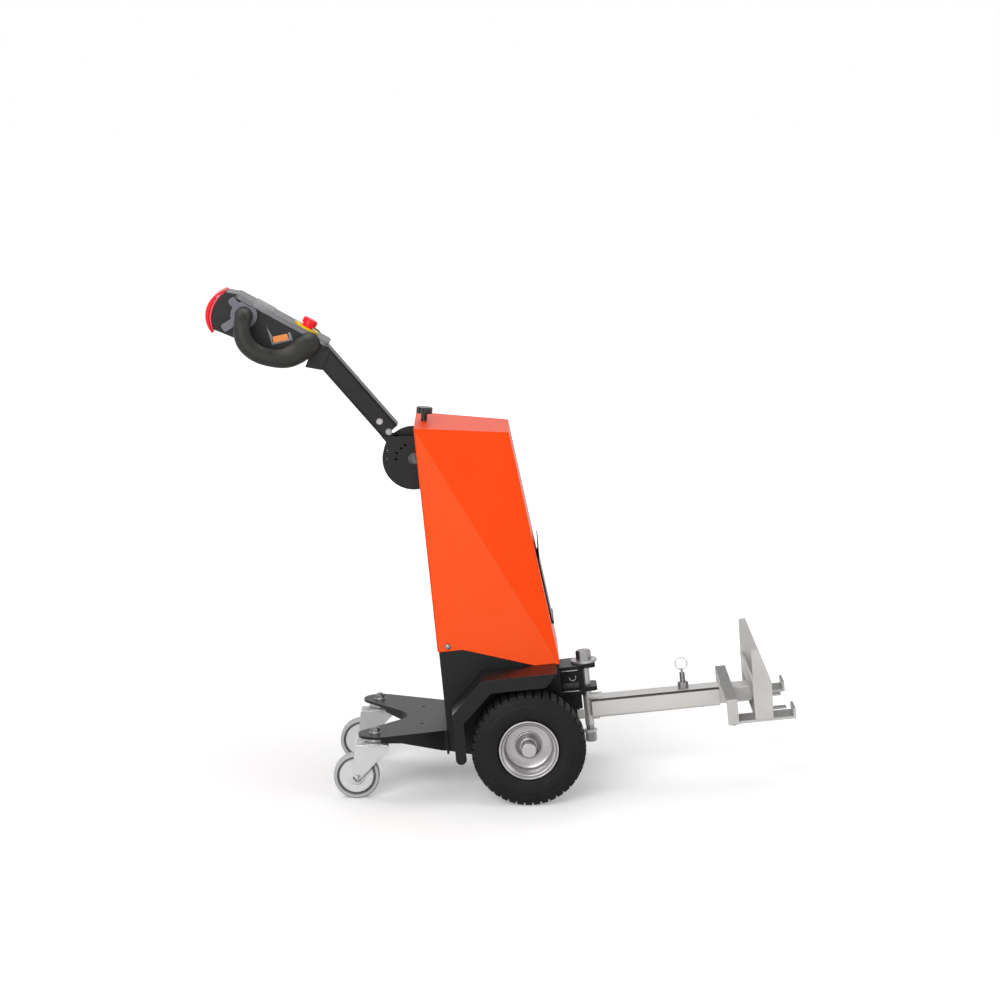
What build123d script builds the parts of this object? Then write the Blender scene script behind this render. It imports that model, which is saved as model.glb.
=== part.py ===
from build123d import *
import os
from math import atan2, cos, degrees, pi, radians, sin

# Walk-behind electric tug: a battery machine on two drive wheels and two
# swivel castors, with a hand control on a tilting tiller at the rear and a
# telescoping drawbar with a cart coupler at the front.
# Millimetres. +X points to the coupler, +Y to the left, +Z up. The origin is
# on the floor below the middle of the machine.
# Chassis, cover, hitch and drawbar share one raked frame, whose origin is on
# the drive axle: x runs forward along the chassis and z up its rear face.

# Layout
axle_ahead = 58.6
chassis_rake = 5.8
running_gap = 0.06
seat_gap = 0.3

# Drive wheels
tyre_radius = 127.0
tyre_width = 82.0
tyre_gap = 29.0
tread_depth = 5.5
lug_count = 42
lug_share = 0.68
flange_radius = 65.5
flange_inset = 3.0
bead_radius = 57.0
rim_wall = 3.5
dish_radius = 48.0
dish_depth = 50.0
lip_depth = 11.0
hub_pocket_radius = 27.5
hub_pocket_depth = 58.0
hub_collar_radius = 18.5
hub_collar_depth = 39.0
hub_radius = 24.0
axle_radius = 10.0
axle_cap_radius = 16.5
axle_tube_radius = 22.0
axle_tube_stand = 5.0
axle_cap_stand = 1.0
axle_cap_chamfer = 1.5
axle_collar_radius = 18.0
axle_collar = 6.0

# Castors
castor_wheel_radius = 51.0
castor_wheel_width = 28.0
castor_trail = 41.0
swivel_behind_axle = 341.0
swivel_side = 158.0
swivel_head_radius = 29.5
castor_tread_thickness = 8.0
castor_groove = 6.0
castor_hub_radius = 12.0
castor_boss_radius = 20.0
castor_axle_radius = 5.0
fork_leg_thickness = 4.0
fork_side_gap = 5.0
fork_tyre_gap = 6.0
fork_crown_height = 13.0
fork_end = 4.5
stem_radius = 6.0
stem_head = 4.0
stem_tip = 2.5
stem_washer_radius = 12.5
stem_washer = 2.0
stem_nut_flats = 19.0
stem_nut_height = 9.0

# Castor plate, level above the castors
plate_top = 148.0
plate_thickness = 6.0
plate_tip_radius = 42.0
plate_tip_back = 336.0
plate_tip_side = 163.0
plate_front_half = 144.0
plate_front_back = 190.0
plate_inner_reach = 75.0
plate_notch_radius = 65.0
plate_web = 4.0
plate_web_depth = 46.0
plate_web_tip_depth = 8.0
plate_flange = 5.0
plate_hole_radius = 3.5
plate_hole_side = 78.0
plate_hole_back = 238.0

# Chassis plates
side_plate = 4.0
chassis_front = 84.0
chassis_floor = -24.0
chassis_rear_floor = -12.0
chassis_top_rear = 232.0
chassis_top_front = 177.0
deck_height = 130.0
end_plate = 4.0

# Cover
cover_half = 132.0
cover_top_half = 101.0
cover_rear = -181.0
cover_rear_height = 721.0
cover_front_height = 687.0
cover_front_top = 26.0
cover_front_low = 87.0
cover_low_rear = 216.0
cover_low_front = 161.0
cover_low_break = -124.0
cover_low_run = 34.0
cover_wall = 2.7
cover_corner = 4.0
cover_slot_margin = 6.0
cover_slot_edge = 6.3
chassis_half = cover_half - cover_wall - seat_gap
chassis_rear = cover_rear + cover_wall + seat_gap
tyre_outer_side = cover_half + tyre_gap + tyre_width
axle_tube_reach = chassis_half + axle_tube_stand

# Front lip panel on the cover
panel_low = 241.0
panel_high = 388.0
panel_lip_high = 431.0
panel_half = 68.0
panel_thickness = 4.0
panel_lip_stand = 7.0

# Top knob
knob_radius = 18.5
knob_height = 14.0
knob_stem_radius = 7.0
knob_stem_height = 17.0
knob_behind_axle = 161.0
knob_flutes = 8

# Mudguards
guard_half_out = tyre_outer_side - 9.0
guard_sheet = 3.0
guard_top = 165.0
guard_lip_depth = 30.0
guard_front = 78.0
guard_rear_break = -87.0
guard_low_x = -160.0
guard_low_z = 94.0
guard_leg_width = 24.0
guard_leg_foot = -7.0

# Battery and drive
battery_gap = 8.0
battery_half = 100.0
battery_height = 230.0
gear_case_radius = 54.0
gear_case_half = 42.0
motor_radius = 46.0
motor_rear = -150.0
motor_height = 42.0

# Tiller pivot and arm
pivot_behind_cover = 10.4
tiller_angle = 54.9
quadrant_radius = 70.0
pivot_height = cover_rear_height - cover_slot_edge - cover_slot_margin - quadrant_radius
quadrant_flat = 50.0
index_plate = 8.0
index_hole_radius = 5.2
index_circle = 61.0
index_spacing = 19.0
pivot_pin_radius = 8.0
arm_width = 60.0
arm_depth = 44.0
arm_wall = 4.0
arm_start = 80.0
arm_length = 318.0
arm_corner = 6.0
post_width = 50.0
post_wall = 3.0
post_stand = 4.0

# Hand control, in a frame at the lower end of its top panel
head_lift = 31.0
head_bend = 20.4
head_length = 255.0
head_panel_length = 231.0
head_panel = 10.0
head_half = 48.0
head_body_half = 40.0
head_rear_bulge = 7.0
switch_bulge = 22.5
switch_half = 39.0
head_drop = 95.0
grip_radius = 18.0
grip_back = 195.0
grip_down = 35.0
grip_reach = 103.0
lever_radius = 30.0
lever_thickness = 10.0
wing_width = 19.0
wing_corner = 6.0
upper_wing_reach = 47.0
lower_wing_reach = 57.0
stop_back = 60.0
stop_ring_radius = 30.0
stop_ring_height = 4.0
stop_button_radius = 17.0
stop_button_height = 19.0

# Hitch and kingpin
kingpin_ahead = 142.0
kingpin_radius = 7.0
hitch_plate = 10.0
hitch_upper = 122.5
hitch_lower = 69.0
hitch_half = 45.0
hitch_tongue_half = 31.0
hitch_tongue_end = 166.0
hitch_box_end = 126.0
hitch_web_end = 137.0
hitch_web_drop = 8.0
hitch_web = 6.0
bush_radius = 10.0
bush_foot = -16.0
head_washer_radius = 30.0
head_washer = 5.0
kingpin_nut_flats = 30.0
kingpin_nut_height = 21.0
thin_nut_flats = 27.0
thin_nut_height = 7.0
lock_nut_flats = 22.0
lock_nut_height = 21.0

# Drawbar
drawbar_width = 60.0
drawbar_height = 43.0
drawbar_wall = 3.0
drawbar_corner = 6.0
drawbar_foot = 5.0
drawbar_rear = 150.0
drawbar_front = 440.0
inner_gap = 0.5
inner_wall = 3.0
inner_tail = 110.0
plunger_ahead = 361.0
plunger_radius = 6.0
plunger_flats = 21.0
plunger_base_height = 14.0
plunger_barrel_height = 22.0
plunger_tip = 9.0
plunger_pin_radius = 5.0
plunger_ring_radius = 13.5
plunger_ring_wire = 1.2
index_step = 40.0
index_steps = 4

# Coupler
cross_bar_rear = 446.0
cross_bar_width = 24.0
cross_bar_half = 166.0
cross_bar_thickness = 6.0
rail_foot = -8.0
rail_thickness = 6.0
rail_front = 598.0
rail_inner = 93.0
rail_lip_height = 17.0
base_rear = 508.0
base_front = 545.0
tine_inner = 52.0
tine_outer = 72.0
tine_front = 585.0
prong_thickness = 6.0
prong_rear = 507.0
prong_top_width = 16.0
prong_height = 158.0
prong_shoulder = 80.0
prong_base_width = 40.0
stop_plate_top = 82.0

# Frames of the raked chassis, the tilting tiller and the hand control
chassis_frame = Location((axle_ahead, 0, tyre_radius), (0, -chassis_rake, 0))
pivot_ahead = cover_rear - pivot_behind_cover
tiller_frame = chassis_frame * Location((pivot_ahead, 0, pivot_height), (0, tiller_angle, 0))
head_frame = tiller_frame * Location((-arm_length, 0, head_lift), (0, -head_bend, 0))

middle = (Align.CENTER, Align.CENTER, Align.MIN)


def block(x, y, z):
    """Box that fills the spans x, y and z."""
    size = [b - a for a, b in (x, y, z)]
    return Pos(x[0], y[0], z[0]) * Box(*size, align=(Align.MIN,) * 3)


def side_face(points, y=0.0, radius=0.0):
    """Face in a plane of constant y from (x, z) points, with rounded corners."""
    outline = Polyline(*[(x, z) for x, z in points], close=True)
    face = make_face(outline)
    if radius:
        face = fillet(face.vertices(), radius)
    return Plane((0, y, 0), x_dir=(1, 0, 0), z_dir=(0, -1, 0)) * face


def side_prism(points, y_from, y_to, radius=0.0):
    """Solid of a side outline between two values of y."""
    return extrude(side_face(points, y_from, radius), amount=y_to - y_from, dir=(0, 1, 0))


def rod(radius, start, end):
    """Cylinder between two points."""
    axis = Vector(*end) - Vector(*start)
    return Plane(origin=start, z_dir=axis) * Cylinder(radius, axis.length, align=middle)


def cross_rod(radius, x, z, y_from, y_to):
    """Cylinder along Y."""
    return rod(radius, (x, y_from, z), (x, y_to, z))


def turned(section):
    """Solid turned about the Y axis from (y, radius) points."""
    outline = Polyline(*[(0, y, r) for y, r in section], close=True)
    return revolve(make_face(outline), Axis.Y)


def nut(flats, height, bore=0.0):
    """Hexagon nut standing on z = 0, its upper edge chamfered by a cone."""
    body = extrude(RegularPolygon(flats / 2, 6, major_radius=False), amount=height)
    cone_low = flats * 0.5 + height
    body = body & Cone(cone_low, flats * 0.5 - 0.5, height + 0.5, align=middle)
    if bore:
        body = body - Cylinder(bore, height, align=middle)
    return body


def box_tube(x, width, depth, corner, wall, z_middle=0.0):
    """Square-cornered tube along X between the two values of x."""
    section = Plane((x[0], 0, z_middle), x_dir=(0, 1, 0), z_dir=(1, 0, 0))
    outer = RectangleRounded(width, depth, corner)
    inner = RectangleRounded(width - 2 * wall, depth - 2 * wall, max(corner - wall, wall / 2))
    return extrude(section * (outer - inner), amount=x[1] - x[0])


def both_sides(shape):
    """A shape and its mirror image across the middle plane."""
    return Compound(children=[shape, mirror(shape, Plane.XZ)])


def drive_tyre():
    """Pneumatic tyre with block tread, centred on its own axle."""
    half = tyre_width / 2
    root = tyre_radius - tread_depth
    bead = half - 9.0
    grip = half - flange_inset - rim_wall - 1.5 - seat_gap
    foot = bead_radius + seat_gap
    rest = flange_radius + 1.5
    wall_top = (half - 2.5, root - 2.0)
    with BuildSketch(Plane.YZ) as section:
        with BuildLine():
            Polyline((-grip, rest), (-grip, foot + 1.0), (-bead, foot), (bead, foot),
                     (grip, foot + 1.0), (grip, rest))
            ThreePointArc((grip, rest), (half, (rest + root) / 2), wall_top)
            Polyline(wall_top, (half - 4.5, root + 2.5), (half - 9.0, tyre_radius),
                     (9.0 - half, tyre_radius), (4.5 - half, root + 2.5), (-wall_top[0], wall_top[1]))
            ThreePointArc((-wall_top[0], wall_top[1]), (-half, (rest + root) / 2), (-grip, rest))
        make_face()
    body = revolve(section.sketch, Axis.Y)
    pitch = 2 * pi / lug_count
    step = lug_share * pitch / 2
    outline = []
    for lug in range(lug_count):
        for radius, turn in ((root, -step * 1.25), (tyre_radius + 1, -step),
                             (tyre_radius + 1, step), (root, step * 1.25)):
            angle = lug * pitch + turn
            outline.append((radius * cos(angle), radius * sin(angle)))
    return body & side_prism(outline, -half, half)


def drive_rim():
    """Steel rim with dished disc and hub; the outer side is towards +Y."""
    outer = tyre_width / 2 - flange_inset
    inner = -outer
    barrel = bead_radius - rim_wall
    pocket = outer - hub_pocket_depth
    collar = outer - hub_collar_depth
    dish = outer - dish_depth
    back = dish - rim_wall
    bore = axle_radius + running_gap
    hub_end = axle_tube_reach + axle_collar - (tyre_outer_side - tyre_width / 2)
    section = [
        (outer, flange_radius - 3.0), (outer, flange_radius), (outer - rim_wall, flange_radius),
        (outer - rim_wall - 1.5, bead_radius), (inner + rim_wall + 1.5, bead_radius),
        (inner + rim_wall, flange_radius), (inner, flange_radius), (inner, barrel + 8.0),
        (inner + 3.0, barrel), (back, barrel), (back, hub_pocket_radius + rim_wall),
        (pocket - rim_wall, hub_pocket_radius + rim_wall), (pocket - rim_wall, hub_radius),
        (hub_end, hub_radius), (hub_end, bore), (collar, bore), (collar, hub_collar_radius),
        (pocket, hub_collar_radius), (pocket, hub_pocket_radius), (dish, hub_pocket_radius),
        (dish, dish_radius), (dish + 2.0, (dish_radius + barrel) / 2 + 1.5), (dish + 7.0, barrel),
        (outer - lip_depth, barrel), (outer - lip_depth + 2.5, barrel + 0.7),
        (outer - 4.0, (barrel + flange_radius) / 2),
    ]
    return turned(section)


def castor_wheel_parts():
    """Tread ring and core of a castor wheel, centred on its own axle."""
    half = castor_wheel_width / 2
    inner = castor_wheel_radius - castor_tread_thickness
    crown = castor_wheel_radius
    tread = turned([(1.5 - half, inner), (half - 1.5, inner), (half, inner + 1.5), (half, crown - 4),
                    (half - 2, crown - 1), (half - 5, crown), (5 - half, crown), (2 - half, crown - 1),
                    (-half, crown - 4), (-half, inner + 1.5)])
    bore = castor_axle_radius + running_gap
    hub_half = half + fork_side_gap - seat_gap
    disc = inner - castor_groove
    section = [(hub_half, bore), (hub_half, castor_hub_radius), (half + 0.5, castor_hub_radius + 1.0),
               (half + 0.5, castor_boss_radius - 2.0), (half - 1.5, castor_boss_radius),
               (half - 1.5, disc - 1.0), (half - 2.5, disc), (half - 8.0, disc), (half - 8.0, inner)]
    core = turned(section + [(-y, radius) for y, radius in reversed(section)])
    return tread, core


def castor_fork():
    """Fork with its swivel head; origin on the floor below the swivel axis."""
    plate_foot = plate_top - plate_thickness
    crown_foot = castor_wheel_radius * 2 + fork_tyre_gap
    crown_top = crown_foot + fork_crown_height
    head = Pos(0, 0, crown_foot) * Cylinder(swivel_head_radius, plate_foot - seat_gap - crown_foot,
                                            align=middle)
    head = chamfer(head.edges().group_by(Axis.Z)[-1], 3.0)
    leg_top = crown_foot + 4.0
    inside = castor_wheel_width / 2 + fork_side_gap
    legs = None
    with BuildSketch() as outline:
        with BuildLine():
            Line((-swivel_head_radius, leg_top), (swivel_head_radius - 1.0, leg_top))
            CenterArc((-castor_trail, castor_wheel_radius), castor_axle_radius + fork_end, 0, 360)
        make_hull()
    for side in (-1, 1):
        near = inside if side > 0 else -inside - fork_leg_thickness
        face = Plane((0, near, 0), x_dir=(1, 0, 0), z_dir=(0, -1, 0)) * outline.sketch
        leg = extrude(face, amount=fork_leg_thickness, dir=(0, 1, 0))
        leg = leg - cross_rod(castor_axle_radius + seat_gap / 2, -castor_trail, castor_wheel_radius,
                              -60, 60)
        legs = leg if legs is None else legs + leg
    fork = head + legs
    stem_hole = Pos(0, 0, crown_top - stem_head) * Cylinder(stem_radius + running_gap, plate_foot,
                                                            align=middle)
    return fork - stem_hole


def castor_axle():
    """Bolt through the fork legs; origin as for the fork."""
    outside = castor_wheel_width / 2 + fork_side_gap + fork_leg_thickness
    at = (-castor_trail, castor_wheel_radius)
    shaft = cross_rod(castor_axle_radius, *at, -outside, outside)
    for side in (-1, 1):
        turn = Plane((at[0], side * outside, at[1]), x_dir=(1, 0, 0), z_dir=(0, side, 0))
        shaft = shaft + turn * nut(15.0, 6.0)
    return shaft


def castor_stem():
    """Fixed swivel bolt with its nut on the plate; origin below the swivel axis."""
    foot = castor_wheel_radius * 2 + fork_tyre_gap + fork_crown_height - stem_head + running_gap
    shaft = Pos(0, 0, foot) * Cylinder(stem_radius, plate_top - foot, align=middle)
    washer = Pos(0, 0, plate_top) * Cylinder(stem_washer_radius, stem_washer, align=middle)
    seat = plate_top + stem_washer
    top = Pos(0, 0, seat) * nut(stem_nut_flats, stem_nut_height)
    tip = Pos(0, 0, seat + stem_nut_height) * Cylinder(stem_radius, stem_tip, align=middle)
    return shaft + washer + top + tip


def castor_plate():
    """Level forked plate with folded edges; origin on the floor below the drive axle."""
    with BuildSketch(Plane.XY) as outline:
        for side in (-1, 1):
            with BuildSketch(mode=Mode.PRIVATE) as arm:
                with BuildLine():
                    CenterArc((-plate_tip_back, side * plate_tip_side), plate_tip_radius, 0, 360)
                    Line((-plate_front_back, side * plate_front_half),
                         (-plate_front_back, -side * plate_inner_reach))
                make_hull()
            add(arm.sketch)
        with Locations((-plate_front_back + 15.0, 0)):
            Rectangle(34.0, 2 * plate_front_half)
        notch = outline.vertices().filter_by_position(Axis.Y, -1, 1).sort_by(Axis.X)[0]
        fillet(notch, plate_notch_radius)
    face = outline.sketch
    plate = extrude(Pos(0, 0, plate_top) * face, amount=-plate_thickness)
    inset = offset(face, amount=-plate_web)
    skirt = extrude(Pos(0, 0, plate_top - plate_thickness) * (face - inset),
                    amount=-(plate_web_depth - plate_thickness))
    low = plate_top - plate_web_depth
    start = -(plate_tip_back - 10.0)
    shallow = plate_top - plate_thickness - plate_web_tip_depth
    keep = side_prism([(start, shallow), (start + 45.0, shallow - 5.0), (-plate_front_back, low),
                       (0, low - 10.0), (0, plate_top), (start, plate_top)],
                      -plate_tip_side * 2, plate_tip_side * 2)
    deep = side_prism([(start, shallow), (start + 40.0, shallow - 8.0), (start + 75.0, low),
                       (0, low), (0, plate_top), (start, plate_top)],
                      -plate_tip_side + plate_tip_radius, plate_tip_side - plate_tip_radius)
    shape = plate + (skirt & (keep + deep))
    for side in (-1, 1):
        shape = shape - rod(plate_hole_radius, (-plate_hole_back, side * plate_hole_side, low),
                            (-plate_hole_back, side * plate_hole_side, plate_top + 1))
        shape = shape - rod(stem_radius + seat_gap / 2, (-swivel_behind_axle, side * swivel_side, low),
                            (-swivel_behind_axle, side * swivel_side, plate_top + 1))
    return shape


def cover_front(z):
    """Forward reach of the cover's front face at height z."""
    lean = (cover_front_top - cover_front_low) / (cover_front_height - cover_low_front)
    return cover_front_low + (z - cover_low_front) * lean


def cover_form(inset):
    """Closed outer form of the cover, or the same form inset for its inside."""
    foot = cover_low_front - 60.0
    profile = [(cover_rear, foot), (cover_rear, cover_rear_height),
               (cover_front_top, cover_front_height), (cover_front(foot), foot)]
    face = make_face(Polyline(*profile, close=True))
    if inset:
        face = offset(face, amount=-inset, kind=Kind.INTERSECTION)
    face = Plane((0, -cover_half + inset, 0), x_dir=(1, 0, 0), z_dir=(0, -1, 0)) * face
    form = extrude(face, amount=2 * (cover_half - inset), dir=(0, 1, 0))
    upright = form.edges().filter_by(Axis.Z)
    form = fillet(upright, cover_corner - inset)
    rear_top = Vector(cover_rear, cover_half, cover_rear_height)
    front_low = Vector(cover_front_low, cover_half, cover_low_front)
    front_top = Vector(cover_front_top, cover_top_half, cover_front_height)
    slope = (front_low - rear_top).cross(front_top - rear_top).normalized()
    if slope.Y < 0:
        slope = -slope
    for side in (1, -1):
        start = rear_top - slope * inset
        cut = Plane(origin=(start.X, side * start.Y, start.Z), z_dir=(slope.X, side * slope.Y, slope.Z))
        form = form - cut * Box(2400, 2400, 400, align=middle)
    return form


def body_cover():
    """Hollow body cover with folded sides and the slot for the tiller."""
    shell = cover_form(0.0) - cover_form(cover_wall)
    tall = cover_rear_height + 50.0
    keep = side_prism([(cover_rear - 20, cover_low_rear), (cover_low_break, cover_low_rear),
                       (cover_low_run, cover_low_front + 2.0), (cover_front_low + 40, cover_low_front),
                       (cover_front_low + 40, tall), (cover_rear - 20, tall)],
                      -cover_half - 10, cover_half + 10)
    reach = quadrant_radius + cover_slot_margin
    slot_half = arm_width / 2 + cover_slot_margin
    slot = block((cover_rear - 10, cover_rear + cover_wall + 4), (-slot_half, slot_half),
                 (pivot_height - reach, pivot_height + reach))
    return (shell & keep) - slot


def side_plates():
    """Two flat side plates of the chassis with the axle tube's holes."""
    outline = [(chassis_rear, chassis_rear_floor), (chassis_rear + 46, chassis_floor),
               (chassis_front - 34, chassis_floor), (chassis_front, chassis_floor + 34),
               (chassis_front, cover_low_front - 1), (chassis_front - 5, cover_low_front - 1),
               (chassis_front - 5, chassis_top_front), (cover_low_run - 8, chassis_top_front + 3),
               (cover_low_break, chassis_top_rear), (chassis_rear + cover_corner, chassis_top_rear),
               (chassis_rear + cover_corner, cover_low_rear - 1), (chassis_rear, cover_low_rear - 1)]
    plate = side_prism(outline, chassis_half - side_plate, chassis_half)
    plate = plate - cross_rod(axle_tube_radius + seat_gap, 0, 0, 0, chassis_half + 10)
    return both_sides(plate)


def fenders():
    """Mudguards: top and sloping sheet, outer lip and rear leg, one on each side."""
    inner_break = guard_rear_break + 16.0
    foot = guard_leg_foot
    leg_front = guard_low_x - 2.0 + guard_leg_width
    lip_low = guard_top - guard_lip_depth
    outline = [(guard_front, guard_top), (guard_rear_break, guard_top), (guard_low_x, guard_low_z),
               (guard_low_x - 2.0, foot), (leg_front, foot), (leg_front + 1.0, guard_low_z - 22.0),
               (inner_break, lip_low), (guard_front - 28.0, lip_low)]
    lip = side_prism(outline, guard_half_out - guard_sheet, guard_half_out)
    toe = cross_rod(guard_leg_width / 2, leg_front - guard_leg_width / 2, foot,
                    guard_half_out - guard_sheet, guard_half_out)
    drop = guard_sheet
    band = [(guard_front, guard_top), (guard_rear_break, guard_top), (guard_low_x, guard_low_z),
            (guard_low_x - 2.0, guard_low_z - 60.0), (guard_low_x - 2.0 + drop, guard_low_z - 60.0),
            (guard_low_x + drop, guard_low_z - 1.2), (guard_rear_break + 1.3, guard_top - drop),
            (guard_front, guard_top - drop)]
    sheet = side_prism(band, chassis_half, guard_half_out - guard_sheet / 2)
    sheet = sheet - block((cover_low_run - 20, guard_front + 5), (0, cover_half + seat_gap),
                          (guard_top - 20, guard_top + 20))
    return both_sides(lip + toe + sheet)


def lip_panel():
    """Panel with a raised lip on the cover's front face."""
    stand = panel_thickness + panel_lip_stand
    low_x, high_x, lip_x = [cover_front(z) for z in (panel_low, panel_high, panel_lip_high)]
    panel = side_prism([(low_x, panel_low), (low_x + panel_thickness + 2, panel_low - 1),
                        (low_x + panel_thickness + 2, panel_low + 5),
                        (low_x + panel_thickness - 1, panel_low + 7),
                        (high_x + panel_thickness, panel_high), (lip_x + stand, panel_lip_high),
                        (lip_x + stand - 2.5, panel_lip_high),
                        (high_x + panel_thickness - 2.0, panel_high + 4.0), (high_x, panel_high)],
                       -panel_half, panel_half)
    return panel


def cover_top(x):
    """Height of the cover's top face at x."""
    slope = (cover_front_height - cover_rear_height) / (cover_front_top - cover_rear)
    return cover_rear_height + (x - cover_rear) * slope


def top_knob():
    """Fluted star knob on its stem, standing square to the cover's top."""
    lean = degrees(atan2(cover_rear_height - cover_front_height, cover_front_top - cover_rear))
    stem = Cylinder(knob_stem_radius, knob_stem_height, align=middle)
    cap = Pos(0, 0, knob_stem_height) * Cylinder(knob_radius, knob_height, align=middle)
    cap = fillet(cap.edges().group_by(Axis.Z)[-1], 3.0)
    flute = Pos(0, 0, knob_stem_height) * Cylinder(knob_radius * 0.17, knob_height, align=middle)
    for at in PolarLocations(knob_radius * 1.04, knob_flutes):
        cap = cap - at * flute
    x = -knob_behind_axle
    tilt = Location((x, 0, cover_top(x)), (0, lean, 0))
    return tilt * (stem + cap)


def tiller_post():
    """Column on the deck and the index plate that carries the tiller's pivot."""
    foot = deck_height + end_plate
    column_rear = chassis_rear + end_plate + post_stand
    column_front = column_rear + post_width
    top = pivot_height - quadrant_radius - 12.0
    section = Rectangle(post_width, post_width) - Rectangle(post_width - 2 * post_wall,
                                                            post_width - 2 * post_wall)
    centre = (column_rear + column_front) / 2
    column = extrude(Pos(centre, 0, foot) * section, amount=top - foot)
    cap = block((column_rear, column_front), (-post_width / 2, post_width / 2), (top, top + 6.0))
    disc = cross_rod(quadrant_radius, pivot_ahead, pivot_height, -index_plate / 2, index_plate / 2)
    web = block((column_rear, column_front), (-index_plate / 2, index_plate / 2), (top, pivot_height))
    post = column + cap + disc + web
    post = post - cross_rod(pivot_pin_radius + seat_gap / 2, pivot_ahead, pivot_height, -40, 40)
    for turn in range(-3, 3):
        angle = radians(180 + index_spacing * turn)
        post = post - cross_rod(index_hole_radius, pivot_ahead + index_circle * cos(angle),
                                pivot_height + index_circle * sin(angle), -40, 40)
    return post


def tiller_pin():
    """Pivot pin with spacers and nuts."""
    reach = arm_width / 2 + seat_gap
    pin = cross_rod(pivot_pin_radius, pivot_ahead, pivot_height, -reach - 2, reach + 2)
    for side in (-1, 1):
        inner = index_plate / 2
        outer = arm_width / 2 - arm_wall - seat_gap
        pin = pin + cross_rod(14.0, pivot_ahead, pivot_height, side * inner, side * outer)
        face = Plane((pivot_ahead, side * reach, pivot_height), x_dir=(1, 0, 0), z_dir=(0, side, 0))
        pin = pin + face * Cylinder(13.0, 1.2, align=middle)
        pin = pin + face * (Pos(0, 0, 1.2) * nut(22.0, 4.0))
    return pin


def tiller_arm():
    """Rectangular arm that ends in two cheek discs on the pivot."""
    tube = box_tube((-arm_length, -arm_start), arm_width, arm_depth, arm_corner, arm_wall)
    cheek = cross_rod(quadrant_radius, 0, 0, arm_width / 2 - arm_wall, arm_width / 2)
    bridge = block((-arm_start - 4, 0), (arm_width / 2 - arm_wall, arm_width / 2),
                   (-arm_depth / 2, arm_depth / 2))
    cheek = cheek + bridge
    up = tiller_angle - chassis_rake
    flat = Location((0, 0, 0), (0, -up, 0)) * block((-200, 0), (0, 100), (quadrant_flat, 200))
    cheek = cheek - flat
    cheek = cheek - cross_rod(pivot_pin_radius + running_gap, 0, 0, 0, 100)
    # Columns: circle radius, angle from the arm in degrees, hole radius
    for circle, angle, radius in ((61.0, 36.0, 5.0), (61.0, 55.0, 5.0), (40.0, 51.0, 3.2),
                                  (40.0, 31.0, 3.2), (36.0, 9.0, 3.2), (36.0, -9.0, 3.2)):
        turn = radians(180 + angle)
        cheek = cheek - cross_rod(radius, circle * cos(turn), circle * sin(turn), 0, 100)
    return tube + cheek + mirror(cheek, Plane.XZ)


def arm_end():
    """Envelope of the arm's end, in the frame of the hand control."""
    form = block((-arm_length, 0), (-arm_width / 2, arm_width / 2), (-arm_depth / 2, arm_depth / 2))
    return head_frame.inverse() * tiller_frame * form


def head_bracket():
    """Bracket that clasps the arm's end below the hand control."""
    half = arm_width / 2 + 4.0
    form = side_prism([(-30, -14), (10, -14), (14, -62), (-22, -74)], -half, half)
    return form - arm_end() - head_form()


def head_form():
    """Moulded housing of the hand control, before its rear end is cut for the arm."""
    high = (-head_length, -head_panel)
    low = (-head_length + 17.0, -head_drop - 1.0)
    with BuildSketch() as outline:
        with BuildLine():
            ThreePointArc(high, (-head_length - head_rear_bulge, (high[1] + low[1]) / 2), low)
            Polyline(low, (-190, -head_drop + 4), (-110, -78), (-52, -70), (-4, -20), (0, -2),
                     (-head_panel_length, -2), high)
        make_face()
    side = Plane((0, -head_body_half, 0), x_dir=(1, 0, 0), z_dir=(0, -1, 0))
    body = extrude(side * outline.sketch, amount=2 * head_body_half, dir=(0, 1, 0))
    panel = block((-head_panel_length, 0), (-head_half, head_half), (-head_panel, 0))
    panel = fillet(panel.edges().filter_by(Axis.Z), 12.0)
    panel = fillet(panel.edges().group_by(Axis.Z)[-1], 2.0)
    return body + panel


def tiller_head():
    """Housing of the hand control, seated on the arm's end."""
    return head_form() - arm_end()


def belly_switch():
    """Curved switch bar across the rear end of the hand control."""
    high = (-head_length - 2.0, -7.0)
    low = (-head_length + 18.0, -head_drop - 11.0)
    with BuildSketch() as outline:
        with BuildLine():
            ThreePointArc(high, (-head_length - switch_bulge, (high[1] + low[1]) / 2 + 8.0), low)
            Polyline(low, (-head_length + 20.0, -head_drop), (-head_length + 20.0, -20), high)
        make_face()
    side = Plane((0, -switch_half, 0), x_dir=(1, 0, 0), z_dir=(0, -1, 0))
    return extrude(side * outline.sketch, amount=2 * switch_half, dir=(0, 1, 0)) - head_form()


def hand_grips():
    """Moulded grip on each side that leaves the lever and loops back to the panel."""
    reach = grip_reach
    start = head_body_half + lever_thickness + 2.0
    # Columns: x, y and z of the middle of the loop, its radius there
    loop = ((-grip_back, start, -grip_down, grip_radius),
            (-grip_back, reach - 32, -grip_down, grip_radius),
            (-188, reach - 5, -50, 17.5), (-168, reach + 1, -76, 19.5), (-134, reach, -88, 19.5),
            (-98, reach - 4, -83, 19.5), (-68, reach - 13, -68, 22.0), (-50, reach - 29, -44, 25.0),
            (-42, reach - 51, -27, 26.0), (-39, reach - 66, -20, 26.0))
    points = [Vector(x, y, z) for x, y, z, _ in loop]
    across = Vector(1, 0, 0)
    sections = []
    for index, point in enumerate(points):
        before = points[max(index - 1, 0)]
        after = points[min(index + 1, len(points) - 1)]
        along = (after - before).normalized()
        across = (across - along * across.dot(along)).normalized()
        sections.append(Plane(point, x_dir=across, z_dir=along) * Circle(loop[index][3]))
    grip = loft(sections) - block((-400, 100), (-head_body_half, head_body_half), (-200, 50))
    root = cross_rod(grip_radius, -grip_back, -grip_down, head_body_half, start)
    return both_sides(grip - head_form() + root)


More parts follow.
